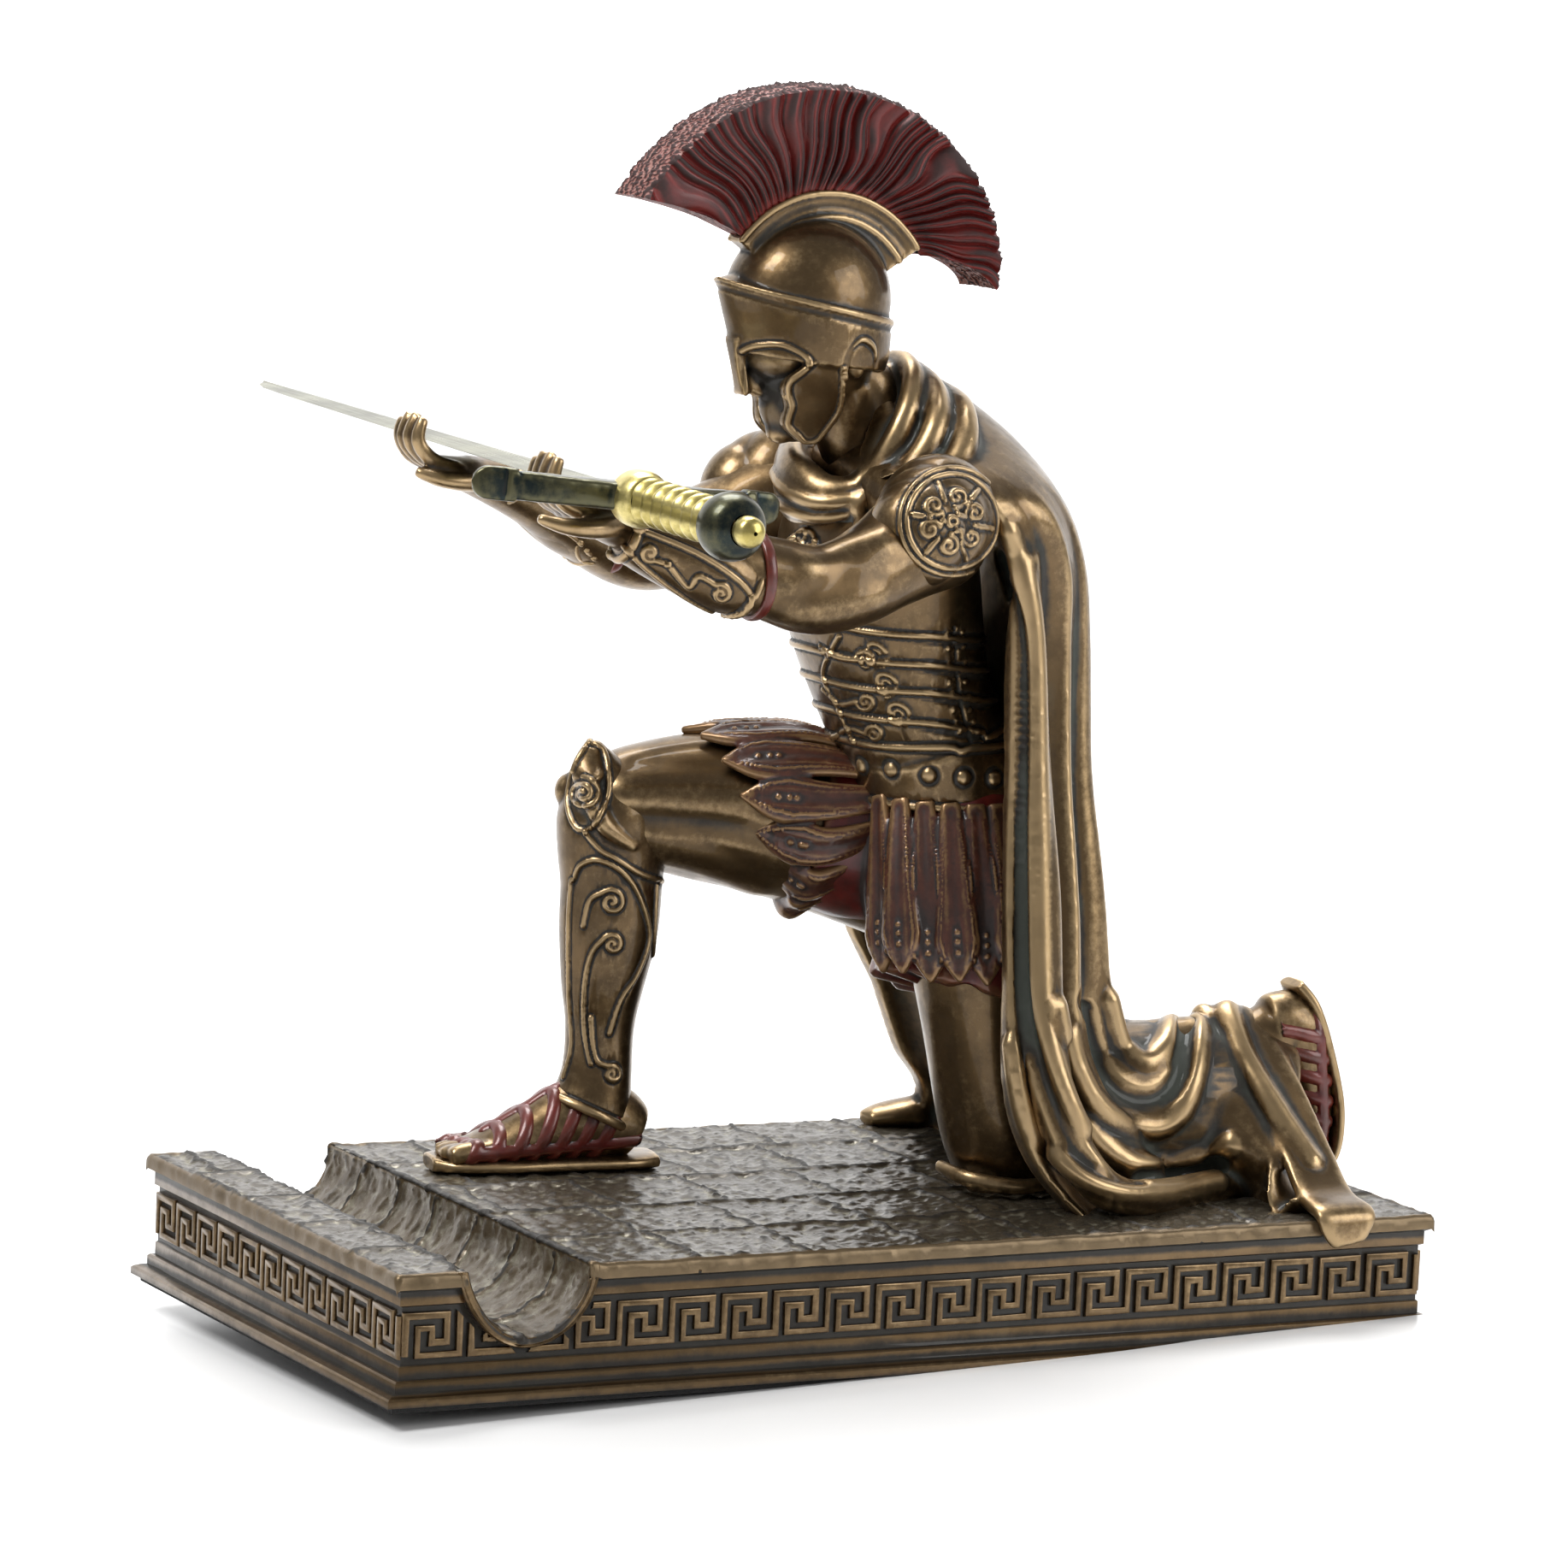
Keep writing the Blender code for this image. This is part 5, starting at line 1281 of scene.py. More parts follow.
def paving():
    """The paved top, its worn edges and the pitted stones that line the trough."""
    profile = top_profile()
    near, far = PLINTH_LOW.y + TOP_INSET, PLINTH_HIGH.y - TOP_INSET
    runs = [(near, -2.2), (near, -1.3), (near, -0.5), (near + 0.45, 0)]
    runs += [(y, 0) for y in np.linspace(near + 0.9, far - 0.9, 238)]
    runs += [(far - 0.45, 0), (far, -0.5), (far, -1.3), (far, -2.2)]
    y_run, drop = np.array(runs).T
    x, y = np.meshgrid(profile[:, 0], y_run, indexing="ij")
    depth = np.repeat(profile[:, 1:], len(y_run), axis=1)
    trough = (depth < -0.01) & (np.abs(x - TROUGH_MIDDLE) < TROUGH_HALF + 0.1)
    z = PLINTH_HIGH.z - BASE + depth + np.where(trough, drop[None] * 0.4, np.minimum(drop[None], 0))
    skin = sheet_skin(np.stack([x, y, z], axis=-1)[:, ::-1])
    x, y, trough = (part[:, ::-1] for part in (x, y, trough))
    flat = skin.points.reshape(*x.shape, 3)
    heights = np.where(trough, trough_height(x, y, flat), slate_height(x, y))
    edge = (np.abs(y) > PLINTH_HIGH.y - RIM) | (x < PLINTH_LOW.x + RIM) | (x > PLINTH_HIGH.x - RIM)
    heights = np.where(edge & ~trough, 0.14 * wander(flat, 4, 52, 4), heights)
    skin.raise_by(heights.ravel())
    return skin, np.where(trough, -1.0, np.where(edge, 0.0, 1.0)).ravel()


def trough_height(x, y, flat):
    """Concave stones in the trough, pitted, in two staggered rows."""
    share = (x - TROUGH_MIDDLE) / TROUGH_HALF
    row = (share > -0.1).astype(float)
    place = (y + 100 + 6 * row + 0.7 * wander(flat, 6, 61)) / LINING_LONG
    along = np.abs(place - np.round(place)) * LINING_LONG
    across = np.abs(share + 0.1) * TROUGH_HALF
    edge = np.minimum(along, across) + 0.3 * wander(flat, 2, 62, 3)
    stone = smoothstep(0, 0.9, edge)
    pits = smoothstep(0.2, 0.6, wander(flat, 2.6, 63, 3))
    return 0.55 * stone - 0.55 - 0.16 * pits + 0.14 * wander(flat, 6, 64, 3)


# Each level of the moulded sides: (inset, height, how much dark wash lies there)
MOULDING = [
    (0, 1, 0.5), (0, 2, -0.2), (0.3, 2.3, -0.2), (1.1, 2.6, 0.4), (1.9, 2.8, 1.2), (1.9, 4.1, -0.1),
    (2.2, 4.4, 0), (2.8, 4.5, 1.0), (2.8, 6.3, -0.1), (3.1, 6.6, 1.0), (3.1, 15.1, 1.0), (2.5, 15.4, -0.1),
    (2.5, 16.2, 0), (2.5, 17.4, 1.4), (1.6, 17.9, 1.2), (1.6, 18.4, 0), (1.9, 19.2, 0),
]
FRIEZE = (6.6, 15.1)
FRIEZE_INSET = 3.1


def plinth_sides():
    """The moulded sides under the paving, with the trough cut through them."""
    corners = ((-1, -1), (1, -1), (1, 1), (-1, 1))
    rings = []
    for inset, height, _ in MOULDING:
        x, y = PLINTH_HIGH.x - inset, PLINTH_HIGH.y - inset
        rings.append([(a * x, b * y, height) for a, b in corners])
    hollow = [(x, PLINTH_HIGH.z + z) for x, z in trough_line(49, TROUGH_WALL)]
    hollow = [(hollow[0][0], CUTTER_TOP), *hollow, (hollow[-1][0], CUTTER_TOP)]
    cut = [[(x, y, z) for x, z in hollow] for y in (PLINTH_LOW.y - 5, PLINTH_HIGH.y + 5)]
    made = []
    for name, levels in (("sides", rings), ("hollow", cut)):
        made.append(bpy.data.objects.new(name, block(name, levels)))
        bpy.context.scene.collection.objects.link(made[-1])
    sides, cutter = made
    difference = sides.modifiers.new("trough", "BOOLEAN")
    difference.object = cutter
    difference.solver = "EXACT"
    bevel = sides.modifiers.new("worn edges", "BEVEL")
    bevel.width = 0.16
    bevel.segments = 2
    bevel.limit_method = "ANGLE"
    bevel.angle_limit = math.radians(24)
    graph = bpy.context.evaluated_depsgraph_get()
    mesh = bpy.data.meshes.new_from_object(sides.evaluated_get(graph))
    for obj in made:
        bpy.data.objects.remove(obj, do_unlink=True)
    return mesh


def trough_line(count, grow=0.0):
    """The trough's hollow as (x, height over the top), from its left shoulder to its right lip."""
    found = []
    for angle in np.linspace(0, math.pi, count):
        across, down = -math.cos(angle), math.sin(angle)
        spread = TROUGH_HALF * (1 - 0.18 * down * (1 - across) / 2) + grow
        found.append((TROUGH_MIDDLE + across * spread, -(TROUGH_DEEP + grow) * down))
    return found


def solid(name, mesh, material, node_name, wash=((0,), (0,))):
    """A piece from a mesh in millimetres above the pad's underside, its dark wash set by height."""
    mesh.name = name
    places = np.empty(len(mesh.vertices) * 3, np.float32)
    mesh.vertices.foreach_get("co", places)
    mesh.transform(Matrix.Scale(MM, 4))
    for label, share in (("fine", 1), ("broad", 0.6)):
        layer = mesh.attributes.new(label, "FLOAT", "POINT")
        layer.data.foreach_set("value", (share * np.interp(places[2::3], *wash)).astype(np.float32))
    mesh.materials.clear()
    mesh.materials.append(material)
    mesh.shade_smooth()
    mesh.set_sharp_from_angle(angle=math.radians(35))
    return show(name, mesh, node_name)


KEY_PITCH = 8.5
KEY_BAR = 1.05
KEY_RELIEF = 0.6
KEY_TURNS = [(0, 0), (0, 1), (0.763, 1), (0.763, 0.318), (0.483, 0.318), (0.483, 0.679), (0.222, 0.679),
             (0.222, 0)]


def key_line(length):
    """The middle line of the key pattern along one side."""
    count = round(length / KEY_PITCH)
    pitch = length / count
    height = FRIEZE[1] - FRIEZE[0] - 1.6 - KEY_BAR
    base = FRIEZE[0] + 0.8 + KEY_BAR / 2
    line = [Vector((-length / 2 + (copy + u) * pitch, base + v * height)) for copy in range(count)
            for u, v in KEY_TURNS]
    return line + [Vector((length / 2, base)), Vector((length / 2, base + height))]


def key_bars():
    """The raised key pattern round all four sides, its bars rounded at their edges and a little uneven."""
    bm = bmesh.new()
    wobble = np.random.default_rng(12)
    spread = ((0.5, 0.0), (0.49, 0.55), (0.42, 0.85), (0.28, 1.0))
    for turn in range(4):
        long_side, other = PLINTH_HIGH.xy if turn % 2 == 0 else PLINTH_HIGH.yx
        line = key_line(2 * (long_side - FRIEZE_INSET) - KEY_BAR)
        face = other - FRIEZE_INSET
        turned = Matrix.Rotation(turn * math.pi / 2, 3, "Z")
        rings = []
        for i, point in enumerate(line):
            into = (point - line[i - 1]).normalized() if i else None
            out = (line[i + 1] - point).normalized() if i + 1 < len(line) else into
            into = into or out
            normal_in, normal_out = Vector((-into.y, into.x)), Vector((-out.y, out.x))
            reach = normal_in + (normal_out if normal_out != normal_in else Vector((0, 0)))
            uneven = 1 + 0.1 * wobble.normal()
            across = []
            for side in (1, -1):
                for half, rise in spread if side > 0 else spread[::-1]:
                    spot = point + reach * (side * half * KEY_BAR * uneven)
                    across.append(turned @ Vector((spot.x, -face - KEY_RELIEF * rise, spot.y)))
            rings.append(across)
        for first, second in zip(rings, rings[1:]):
            steps = 8 if abs(first[0].x - TROUGH_MIDDLE) < 14 else 1
            runs = [[a.lerp(b, k / steps) for a, b in zip(first, second)] for k in range(steps + 1)]
            for near, far in zip(runs, runs[1:]):
                if not in_trough(near[0]) and not in_trough(far[0]):
                    bridge(bm, (near, far), closed=False)
    bmesh.ops.remove_doubles(bm, verts=bm.verts, dist=0.0005)
    return mesh_of(bm, "key")


def in_trough(spot):
    """Whether a place on the sides lies in the trough's hollow or on its band."""
    return math.hypot(spot.x - TROUGH_MIDDLE, PLINTH_HIGH.z - spot.z) < TROUGH_DEEP + 1.4


def trough_bands():
    """The raised bronze band that follows the trough over both long faces."""
    bm = bmesh.new()
    section = ((0.1, 1.6), (0, 0.15), (0.25, -0.1), (0.5, 0.1), (1, 0.12), (1.3, -0.08), (1.5, 0.2),
               (1.5, 2.6))
    lines = [trough_line(49, grow) for grow, _ in section]
    for end in SIDES:
        depths = [end * (PLINTH_HIGH.y - BAND_INSET - deep) for _, deep in section]
        rings = [
            [(x, y, PLINTH_HIGH.z + min(z, -0.1)) for (x, z), y in zip(spots, depths)]
            for spots in zip(*lines)
        ]
        bridge(bm, rings, closed=False)
    return mesh_of(bm, "band")


SWORD_PLACE = (
    Matrix.Translation((-51.2, 9, 112.1))
    @ Matrix.Rotation(math.radians(1.1), 4, "Z")
    @ Matrix.Rotation(math.radians(5.1), 4, "Y")
    @ Matrix.Rotation(math.radians(1.9), 4, "X")
)
SWORD_HALF = 85
GUARD_AT = -45
GUARD_HALF = 25.2
BLADE_HALF = 5.9
BLADE_THICK = 1.2


def tube(rings):
    """A skin from rings of points that close on themselves, in the sword's frame, laid in its place."""
    rings = np.array(rings, float)
    rows, columns = rings.shape[:2]
    index = np.arange(rows * columns).reshape(rows, columns)
    after = np.roll(index, -1, axis=1)
    faces = np.stack([index[:-1], after[:-1], after[1:], index[1:]], axis=-1).reshape(-1, 4)
    matrix = np.array(SWORD_PLACE)
    points = rings.reshape(-1, 3) @ matrix[:3, :3].T + matrix[:3, 3]
    skin = Skin(points, faces)
    outward = points - np.repeat(points.reshape(rows, columns, 3).mean(axis=1), columns, axis=0)
    if (skin.normals() * outward).sum() < 0:
        skin = Skin(points, faces[:, ::-1])
    return skin


def blade():
    """The blade: a flattened diamond with a soft ridge, worn edges and a rounded point."""
    rings = []
    tip = 0.8 + 0.2 * np.sin(np.linspace(0.02, math.pi / 2, 40))
    for share in np.concatenate([np.linspace(0, 0.8, 120), tip]):
        y = GUARD_AT + share * (SWORD_HALF - GUARD_AT)
        keep = 1 - 0.38 * min(share, 0.8)
        if share > 0.8:
            keep *= math.sqrt(max(1 - ((share - 0.8) / 0.2) ** 2, 0.0004))
        half, thick = BLADE_HALF * keep, BLADE_THICK * (1 - 0.5 * share)
        ring = []
        for turn in ring_angles(48):
            c = math.cos(turn)
            rise = thick * (1 - abs(c)) ** 0.9 * (1 if math.sin(turn) >= 0 else -1)
            ring.append((half * c, y, rise))
        rings.append(ring)
    return tube(rings)


def guard():
    """The bowed cross guard with a block at its middle and flared ends."""
    rings = []
    for share in np.linspace(-1, 1, 161):
        deep = 4.4 * (0.5 + 0.18 * math.cos(share * math.pi)) * (0.72 if abs(share) > 0.8 else 1)
        thick = 4.2 * (0.5 if abs(share) < 0.75 else 0.58)
        boss = 1 - float(smoothstep(0.16, 0.2, abs(share)))
        cap = math.sqrt(max(1 - max(abs(share) - 0.9, 0) ** 2 / 0.01, 0.002))
        middle = GUARD_AT - 1.54 * (1 - share**2)
        deep *= (0.94 + 0.06 * boss) * cap
        turns = [squared(turn, 4) for turn in ring_angles(36)]
        rings.append([(share * GUARD_HALF, middle + deep * s, thick * cap * c) for c, s in turns])
    skin = tube(rings)
    skin.raise_by(0.04 * wander(skin.points, 2.5, 71))
    return skin


GRIP = [(0, 1.15), (0.02, 1.3), (0.05, 1.36), (0.1, 1.36), (0.14, 1.2), (0.155, 1.0)]
POMMEL = [(0.7, 0.9), (0.715, 1.05), (0.735, 1.3), (0.76, 1.5), (0.8, 1.6), (0.84, 1.55), (0.875, 1.35),
          (0.9, 1.0), (0.915, 0.75)]
KNOB = [(0.912, 0.62), (0.925, 0.72), (0.95, 0.74), (0.975, 0.66), (0.99, 0.45), (1.0, 0.1)]
GRIP_RADIUS = 3.1


def turned(profile, notches=0, depth=0.0):
    """A piece turned about the sword's line, with notches cut round the grip."""
    start = GUARD_AT - 1.3
    rings = []
    for share, radius in through(profile, 8):
        y = start - share * (start + SWORD_HALF)
        ring = []
        for turn in ring_angles(64):
            r = radius * GRIP_RADIUS - depth * max(0, math.cos(turn * notches)) ** 6
            ring.append((r * math.cos(turn), y, r * math.sin(turn)))
        rings.append(ring)
    return tube(rings)


def grip():
    """The brass grip, its ridges standing out between deep notches."""
    profile = [(0.15, 0.9)]
    for share in np.linspace(0.17, 0.69, 79):
        wave = 0.5 + 0.5 * math.cos((share - 0.17) / 0.52 * math.tau * 6.5)
        profile.append((float(share), 0.8 + 0.34 * wave**0.6))
    profile.append((0.71, 0.85))
    return turned(profile, 2, 0.3)


def slate_finish(name, body, high, wash):
    """Worn stone in painted resin: dark in its joints, dry-brushed on top, bronze at its edges."""
    look = Finish(name)
    fine, broad = look.field("fine"), look.field("broad").math("MAXIMUM", -0.5)
    zone = look.field("mask")
    cloud = look.noise(15, detail=6.0, roughness=0.62)
    speck = look.noise(1.6, detail=6.0, roughness=0.72)
    grit = look.noise(0.45, detail=3.0)
    edge = 1.0 - zone.math("ABSOLUTE")
    hollow = (fine * 0.4 + broad * 0.4 + cloud * 0.7 + speck * 0.5 - 0.78).ramp(0.0, 0.8)
    hollow = hollow * (1.0 - edge * 0.75)
    brush = ((speck - 0.5) * 1.8 + (cloud - 0.5) * 1.1 - fine * 0.4 - 0.1).ramp(0.0, 0.8)
    rim = edge * 0.85
    lining = [1.5 * body[0], 1.3 * body[1], body[2]]
    colour = blend(look.tree, (0.0 - zone).ramp(0.2, 0.8) * 0.7, body, lining)
    colour = blend(look.tree, brush * 0.85, colour, high)
    colour = blend(look.tree, rim, colour, (0.2, 0.14, 0.075))
    colour = blend(look.tree, hollow * 0.92, colour, wash)
    stain = look.noise(6, detail=6.0, roughness=0.7).ramp(0.5, 0.7) * (0.5 - edge * 0.3)
    colour = blend(look.tree, stain, colour, [0.45 * c for c in body])
    roughness = (0.22 + hollow * 0.25 + grit * 0.16).clamped()
    metallic = (0.4 + rim * 0.4 - hollow * 0.2).clamped()
    height = speck * 0.7 + grit * 0.5
    return look.set(colour, roughness, metallic, height, depth=0.06, strength=0.6)


def blade_finish(name, metal, stain):
    """Toned steel with brushed lines along it and darker clouds."""
    look = Finish(name)
    cloud = look.noise(12, detail=5.0)
    lines = look.noise(0.5, detail=4.0, stretch=(1, 0.03, 1))
    colour = blend(look.tree, (cloud * 1.1 + lines * 0.35 - 0.3).ramp(0.25, 0.7), metal, stain)
    roughness = (0.16 + lines * 0.16 + cloud * 0.1).clamped()
    return look.set(colour, roughness, 1.0, lines, depth=0.02, strength=0.5)


def hair_finish(name, paint, dust):
    """The crest's hair: red paint, dark between the locks, with dusty dry-brushed ends."""
    look = Finish(name)
    fine, broad, mask = look.field("fine"), look.field("broad"), look.field("mask")
    cloud = look.noise(5, detail=5.0)
    speck = look.noise(0.6, detail=5.0, roughness=0.7)
    hollow = (fine * 0.8 + broad * 0.4 + cloud * 0.5 + speck * 0.4 - 0.4).ramp(0.0, 0.6)
    shade = blend(look.tree, cloud.ramp(0.35, 0.7), paint, [c * 0.6 for c in paint])
    ridge = (0.16 - fine * 1.1 + (speck - 0.5) * 0.8).ramp(0.1, 0.9)
    colour = blend(look.tree, ridge * 0.35, shade, [min(c * 2.4, 1) for c in paint])
    colour = blend(look.tree, hollow * 0.92, colour, (0.02, 0.008, 0.007))
    colour = blend(look.tree, (mask * ridge * 1.6).clamped() * 0.75, colour, dust)
    roughness = (0.38 + hollow * 0.25 + mask * 0.15).clamped()
    return look.set(colour, roughness, 0.1, speck, depth=0.06, strength=0.6)


def dark_pad_finish(name, colour):
    look = Finish(name)
    fuzz = look.noise(0.4, detail=4.0)
    shade = blend(look.tree, fuzz, colour, [c * 1.8 for c in colour])
    return look.set(shade, (0.85 + fuzz * 0.1).clamped(), 0.0, fuzz, depth=0.1)


def floor_finish(name, colour):
    look = Finish(name)
    cloud = look.noise(160, detail=3.0)
    shade = blend(look.tree, cloud, colour, [c * 0.985 for c in colour])
    return look.set(shade, (0.22 + cloud * 0.04).clamped(), 0.0)


def backdrop_finish(name, strength):
    """A wall that glows white behind the piece."""
    look = Finish(name)
    white = (1, 1, 1, 1)
    return look.set(white, 1.0, 0.0, Emission_Color=white, Emission_Strength=strength)


def stage_plane(name, axes, half, middle, material):
    """A square of the stage, laid along two directions from its middle."""
    mesh = bpy.data.meshes.new(name)
    corners = [middle + (axes[0] * u + axes[1] * v) * half for u, v in ((-1, -1), (1, -1), (1, 1), (-1, 1))]
    mesh.from_pydata([tuple(corner) for corner in corners], [], [(0, 1, 2, 3)])
    mesh.materials.append(material)
    obj = bpy.data.objects.new(name, mesh)
    bpy.context.scene.collection.objects.link(obj)


def colour_setting(name, description, default):
    return bpy.props.FloatVectorProperty(
        name=name, description=description, default=default, size=3, min=0, max=1, subtype="COLOR"
    )


def amount_setting(name, description, default, unit="NONE"):
    return bpy.props.FloatProperty(name=name, description=description, default=default, min=0, unit=unit)


class WarriorColours(bpy.types.PropertyGroup):
    """The colours of the finish"""

    bronze: colour_setting("Bronze", "The body of the antique bronze", (0.128, 0.082, 0.039))
    rubbed: colour_setting("Rubbed bronze", "Where hands rub the bronze bright", (0.35, 0.245, 0.128))
    wash: colour_setting("Dark wash", "What lies in the hollows", (0.009, 0.007, 0.005))
    paint: colour_setting("Red paint", "The crest, the skirt and the sandal straps", (0.115, 0.008, 0.006))
    glaze: colour_setting("Strap glaze", "The brown red over the bronze straps", (0.075, 0.022, 0.012))
    dust: colour_setting("Crest dust", "The dry-brushed ends of the crest's hair", (0.3, 0.16, 0.13))
    stone: colour_setting("Paving", "The body of the paving stones", (0.062, 0.05, 0.034))
    stone_high: colour_setting("Paving highlights", "What is brushed on the stones", (0.24, 0.22, 0.165))
    steel: colour_setting("Blade", "The toned steel of the blade", (0.2, 0.195, 0.12))
    dark_metal: colour_setting("Guard", "The darkened guard and pommel", (0.012, 0.02, 0.02))
    brass: colour_setting("Grip", "The brass of the grip and the collar", (0.42, 0.34, 0.1))
    black_pad: colour_setting("Pad", "The felt under the plinth", (0.012, 0.012, 0.012))


class WarriorStage(bpy.types.PropertyGroup):
    """The floor, the lights and the camera"""

    floor_size: amount_setting("Floor", "Length of a side of the floor", 6.0, "LENGTH")
    floor_colour: colour_setting("Floor colour", "The pale floor", (0.86, 0.86, 0.86))
    world_light: amount_setting("Studio light", "Strength of the even light all round", 0.33)
    backdrop_light: amount_setting("Backdrop light", "Strength of the glow of the wall behind", 1.0)
    key_light: amount_setting("Key light", "Power of the soft light above the camera's left", 10.0, "POWER")
    fill_light: amount_setting("Fill light", "Power of the soft light on the right", 5.0, "POWER")
    top_light: amount_setting("Top light", "Power of the soft light above and behind", 9.0, "POWER")


class PieceOperator:
    """What the operators that build pieces share."""

    bl_options = {"REGISTER", "UNDO"}

    def execute(self, context):
        self.build(context.scene.warrior_colours)
        return {"FINISHED"}


def bronze(colours, name, **changes):
    return bronze_finish(name, colours.wash, colours.bronze, colours.rubbed, **changes)


class WARRIOR_OT_body(PieceOperator, bpy.types.Operator):
    """Builds the head, arms, hands, legs and feet"""

    bl_idname = "warrior.body"
    bl_label = "Body"

    def build(self, colours):
        skin = flesh()
        x, y, z = skin.points.T
        # Painted shade: the face inside the helmet is darkened with the dark wash through the mask.
        painted_helmet_shade = (1 - smoothstep(-4, -1, x)) * smoothstep(113, 116, z)
        painted_helmet_shade *= 1 - smoothstep(7, 9.5, np.abs(y - MEDIAN))
        body = skin.make("flesh", bronze(colours, "flesh bronze", moss=0.12), "figure", mask=painted_helmet_shade)


class WARRIOR_OT_helmet(PieceOperator, bpy.types.Operator):
    """Builds the helmet and its crest"""

    bl_idname = "warrior.helmet"
    bl_label = "Helmet and crest"

    def build(self, colours):
        metal = helmet().make("helmet", bronze(colours, "helmet bronze"), "figure")
        hair = hair_finish("crest paint", colours.paint, colours.dust)
        grids = crest_hair()
        sides = joined([*grids], (False, True))
        crest = sides.make("crest_hair", hair, "figure")
        ends = joined(crest_ends(grids), (False, False, False))
        cut = ends.make("crest_ends", hair, "figure", mask=np.ones(len(ends.points)))


class WARRIOR_OT_armour(PieceOperator, bpy.types.Operator):
    """Builds the cuirass, the belt, the pauldrons, the bracers, the greave and the straps of the skirt"""

    bl_idname = "warrior.armour"
    bl_label = "Armour"

    def build(self, colours):
        metal = bronze(colours, "armour bronze")
        glaze = paint_finish("strap glaze", colours.glaze, bare=0.75)
        for name, form, look in (
            ("cuirass", cuirass, metal), ("limb_armour", limb_armour, metal),
            ("skirt_straps", skirt_straps, glaze),
        ):
            form().make(name, look, "figure")


class WARRIOR_OT_cloth(PieceOperator, bpy.types.Operator):
    """Builds the red tunic and the bronze cloak"""

    bl_idname = "warrior.cloth"
    bl_label = "Tunic and cloak"

    def build(self, colours):
        red = tunic().make("tunic", paint_finish("tunic paint", colours.paint), "figure")
        cape = cloak().make("cloak", bronze(colours, "cloak bronze", moss=0.5), "figure")


class WARRIOR_OT_sandals(PieceOperator, bpy.types.Operator):
    """Builds the sandals and the red straps of the forearms"""

    bl_idname = "warrior.sandals"
    bl_label = "Sandals and straps"

    def build(self, colours):
        red = paint_finish("strap paint", colours.paint, bare=0.06)
        sole = bronze(colours, "sole bronze")
        for name, form, look in (
            ("sandal_straps", sandals, red), ("arm_straps", arm_straps, red), ("soles", soles, sole),
        ):
            form().make(name, look, "figure")


class WARRIOR_OT_plinth(PieceOperator, bpy.types.Operator):
    """Builds the paved plinth, its key pattern and the pad under it"""

    bl_idname = "warrior.plinth"
    bl_label = "Plinth"

    def build(self, colours):
        stone = slate_finish("paving", colours.stone, colours.stone_high, colours.wash)
        metal = bronze(colours, "plinth bronze", moss=0.1)
        skin, mask = paving()
        top = skin.make("paving_stones", stone, "plinth", mask=mask)
        _, *washes = zip(*MOULDING)
        rubbed = (FRIEZE, (-0.25, -0.25))
        sides = solid("moulded_sides", plinth_sides(), metal, "plinth", washes)
        key = solid("key_pattern", key_bars(), metal, "plinth", rubbed)
        band = solid("trough_bands", trough_bands(), metal, "plinth", rubbed)
        # A near-black pad under the plinth, which shows as the dark line along the plinth's lower edge.
        low, high = (Vector(corner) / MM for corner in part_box("base_pad"))
        rings = [[(x, y, z) for x, y in ((low.x, low.y), (high.x, low.y), (high.x, high.y), (low.x, high.y))]
                 for z in (low.z, low.z + 0.15, high.z)]
        pad = solid("dark_pad", block("pad", rings), dark_pad_finish("black_pad", colours.black_pad), "base_pad")


class WARRIOR_OT_sword(PieceOperator, bpy.types.Operator):
    """Builds the letter opener that lies on both palms"""

    bl_idname = "warrior.sword"
    bl_label = "Sword"

    def build(self, colours):
        steel = blade_finish("blade steel", colours.steel, tuple(0.4 * c for c in colours.steel))
        wash = colours.wash
        dark = bronze_finish("guard metal", wash, colours.dark_metal, (0.09, 0.085, 0.045), moss=0)
        brass = bronze_finish("grip brass", wash, colours.brass, (0.75, 0.64, 0.27), moss=0)
        made = [
            blade().make("blade", steel, "sword"), guard().make("guard", dark, "sword"),
            grip().make("grip", brass, "sword"), turned(GRIP).make("collar", brass, "sword"),
            turned(POMMEL).make("pommel", dark, "sword"), turned(KNOB).make("pommel_knob", brass, "sword"),
        ]


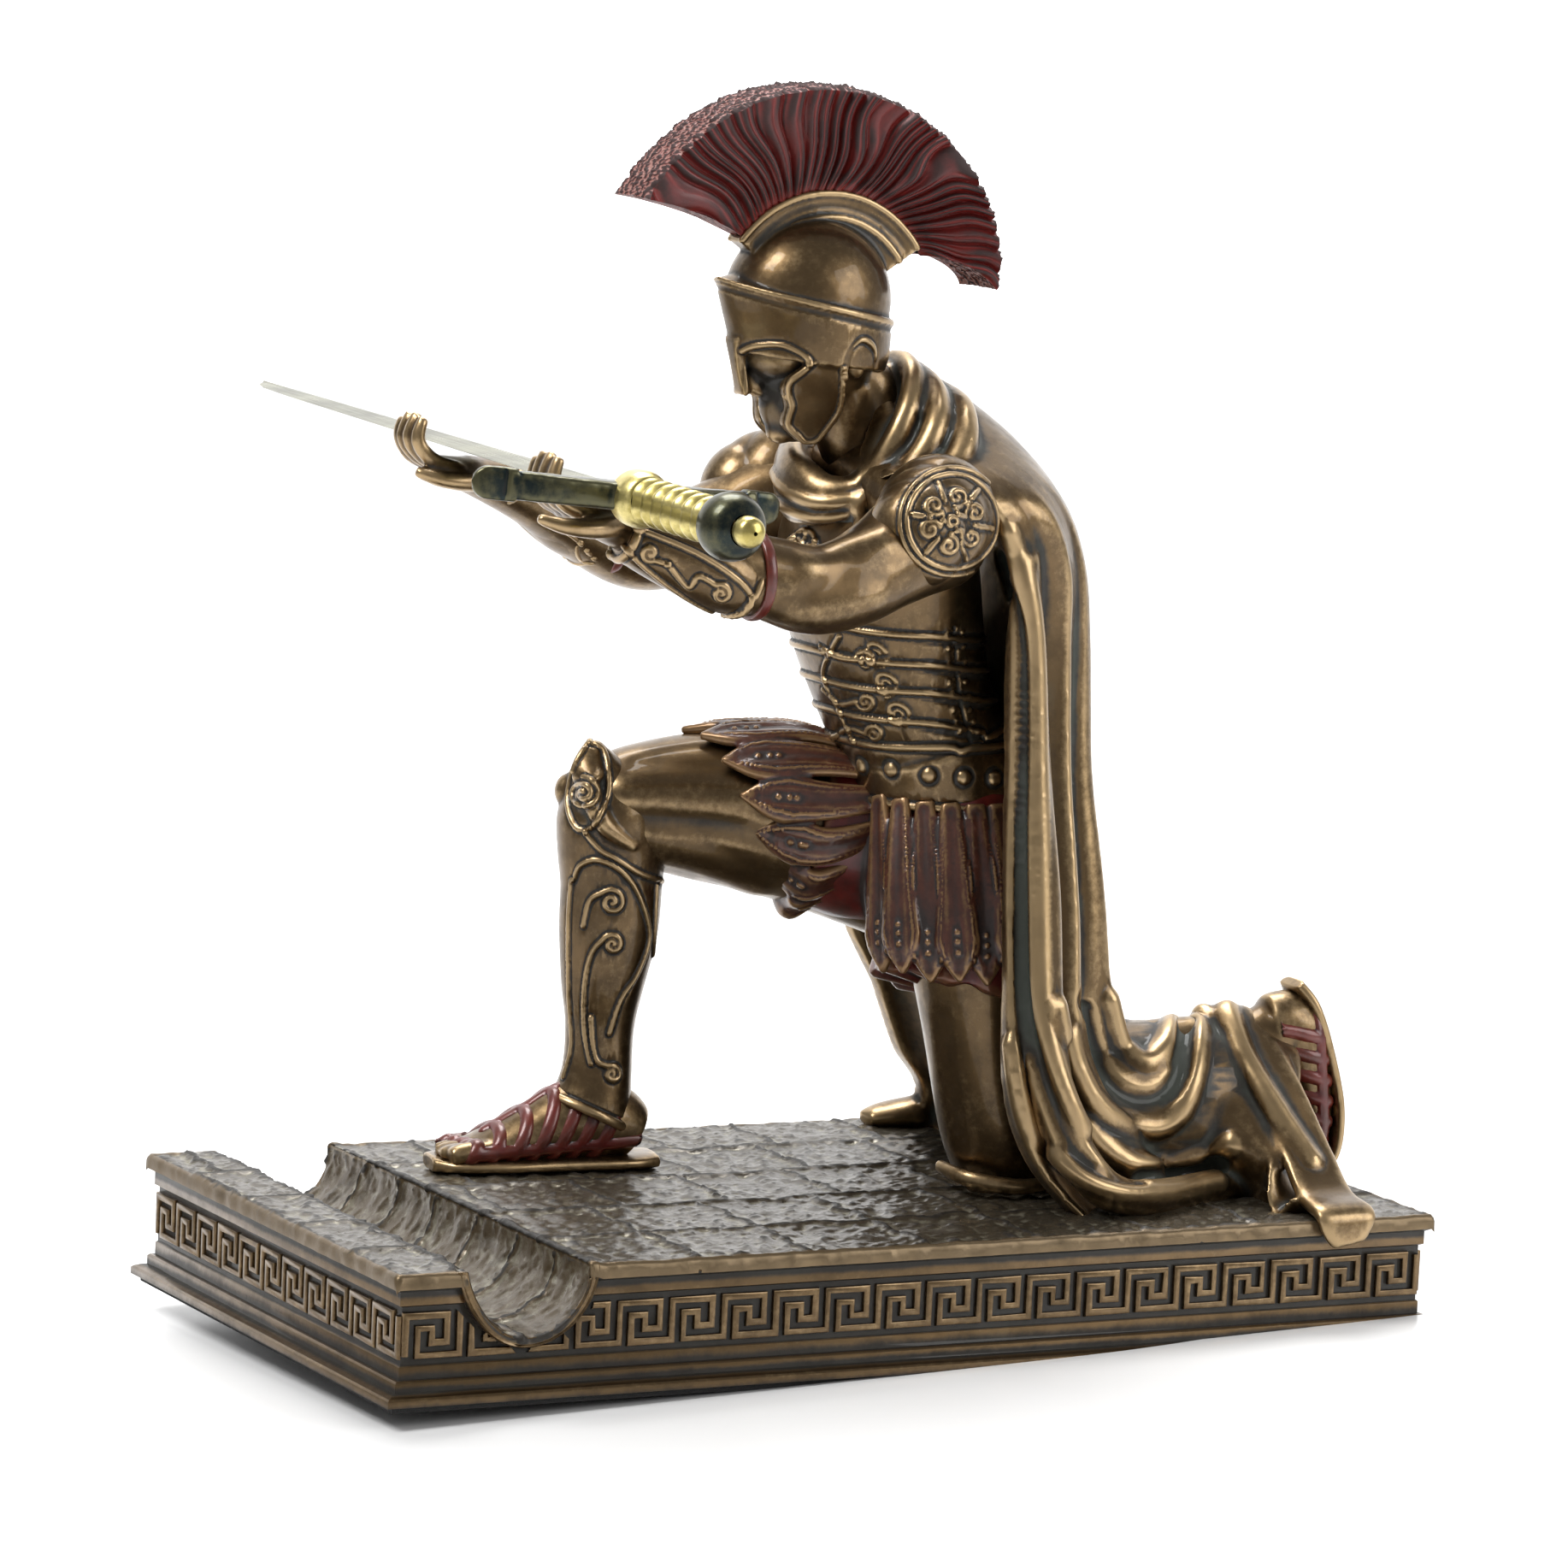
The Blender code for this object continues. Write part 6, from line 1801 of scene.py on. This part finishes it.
class WARRIOR_OT_stage(bpy.types.Operator):
    """Builds the pale floor, the soft lights and the camera of the picture"""

    bl_idname = "warrior.stage"
    bl_label = "Stage"
    bl_options = {"REGISTER", "UNDO"}

    def execute(self, context):
        settings = context.scene.warrior_stage
        right, up, ahead = camera_axes()
        level = Vector((ahead.x, ahead.y, 0)).normalized()
        half = settings.floor_size / 2
        floor_look = floor_finish("floor", settings.floor_colour)
        stage_plane("floor", (right, level), half, Vector((0, 0, 0)), floor_look)
        glow = backdrop_finish("backdrop", settings.backdrop_light)
        stage_plane("backdrop", (right, Vector((0, 0, 1))), half, level * half * 0.6, glow)
        world = bpy.data.worlds.new("studio")
        world.use_nodes = True
        world.node_tree.nodes["Background"].inputs[0].default_value = (1, 1, 1, 1)
        world.node_tree.nodes["Background"].inputs[1].default_value = settings.world_light
        context.scene.world = world
        middle = TARGET * MM
        for name, power, size, place in (
            ("key", settings.key_light, 0.45, -0.5 * right + 0.8 * up - 0.45 * ahead),
            ("fill", settings.fill_light, 0.6, 0.9 * right + 0.3 * up - 0.35 * ahead),
            ("top", settings.top_light, 0.5, 0.95 * up + 0.3 * ahead),
        ):
            light = bpy.data.lights.new(name, "AREA")
            light.energy = power
            light.size = size
            lamp = bpy.data.objects.new(name, light)
            lamp.location = middle + place
            lamp.rotation_euler = (middle - lamp.location).to_track_quat("-Z", "Y").to_euler()
            context.scene.collection.objects.link(lamp)
        camera = bpy.data.cameras.new("picture")
        camera.lens = LENS
        camera.clip_end = 20
        view = bpy.data.objects.new("picture", camera)
        view.matrix_world = Matrix((right, up, -ahead)).transposed().to_4x4()
        view.location = EYE * MM
        context.scene.collection.objects.link(view)
        context.scene.camera = view
        context.scene.view_settings.view_transform = "Standard"
        return {"FINISHED"}


PIECES = (
    WARRIOR_OT_plinth, WARRIOR_OT_body, WARRIOR_OT_helmet, WARRIOR_OT_armour, WARRIOR_OT_cloth,
    WARRIOR_OT_sandals, WARRIOR_OT_sword, WARRIOR_OT_stage,
)


class WARRIOR_PT_panel(bpy.types.Panel):
    """The sizes, the colours and the builders"""

    bl_label = "Kneeling warrior"
    bl_idname = "WARRIOR_PT_panel"
    bl_space_type = "VIEW_3D"
    bl_region_type = "UI"
    bl_category = "Warrior"

    def draw(self, context):
        for group in (context.scene.warrior_colours, context.scene.warrior_stage):
            box = self.layout.box()
            for name in type(group).__annotations__:
                box.prop(group, name)
        for piece in PIECES:
            self.layout.operator(piece.bl_idname)


CLASSES = (WarriorColours, WarriorStage, *PIECES, WARRIOR_PT_panel)


def register():
    for made in CLASSES:
        bpy.utils.register_class(made)
    bpy.types.Scene.warrior_colours = bpy.props.PointerProperty(type=WarriorColours)
    bpy.types.Scene.warrior_stage = bpy.props.PointerProperty(type=WarriorStage)


def unregister():
    del bpy.types.Scene.warrior_stage
    del bpy.types.Scene.warrior_colours
    for made in reversed(CLASSES):
        bpy.utils.unregister_class(made)


def main():
    register()
    for piece in PIECES:
        group, name = piece.bl_idname.split(".")
        if getattr(getattr(bpy.ops, group), name)() != {"FINISHED"}:
            raise RuntimeError(f"{piece.bl_idname} did not finish")


if __name__ == "__main__":
    main()
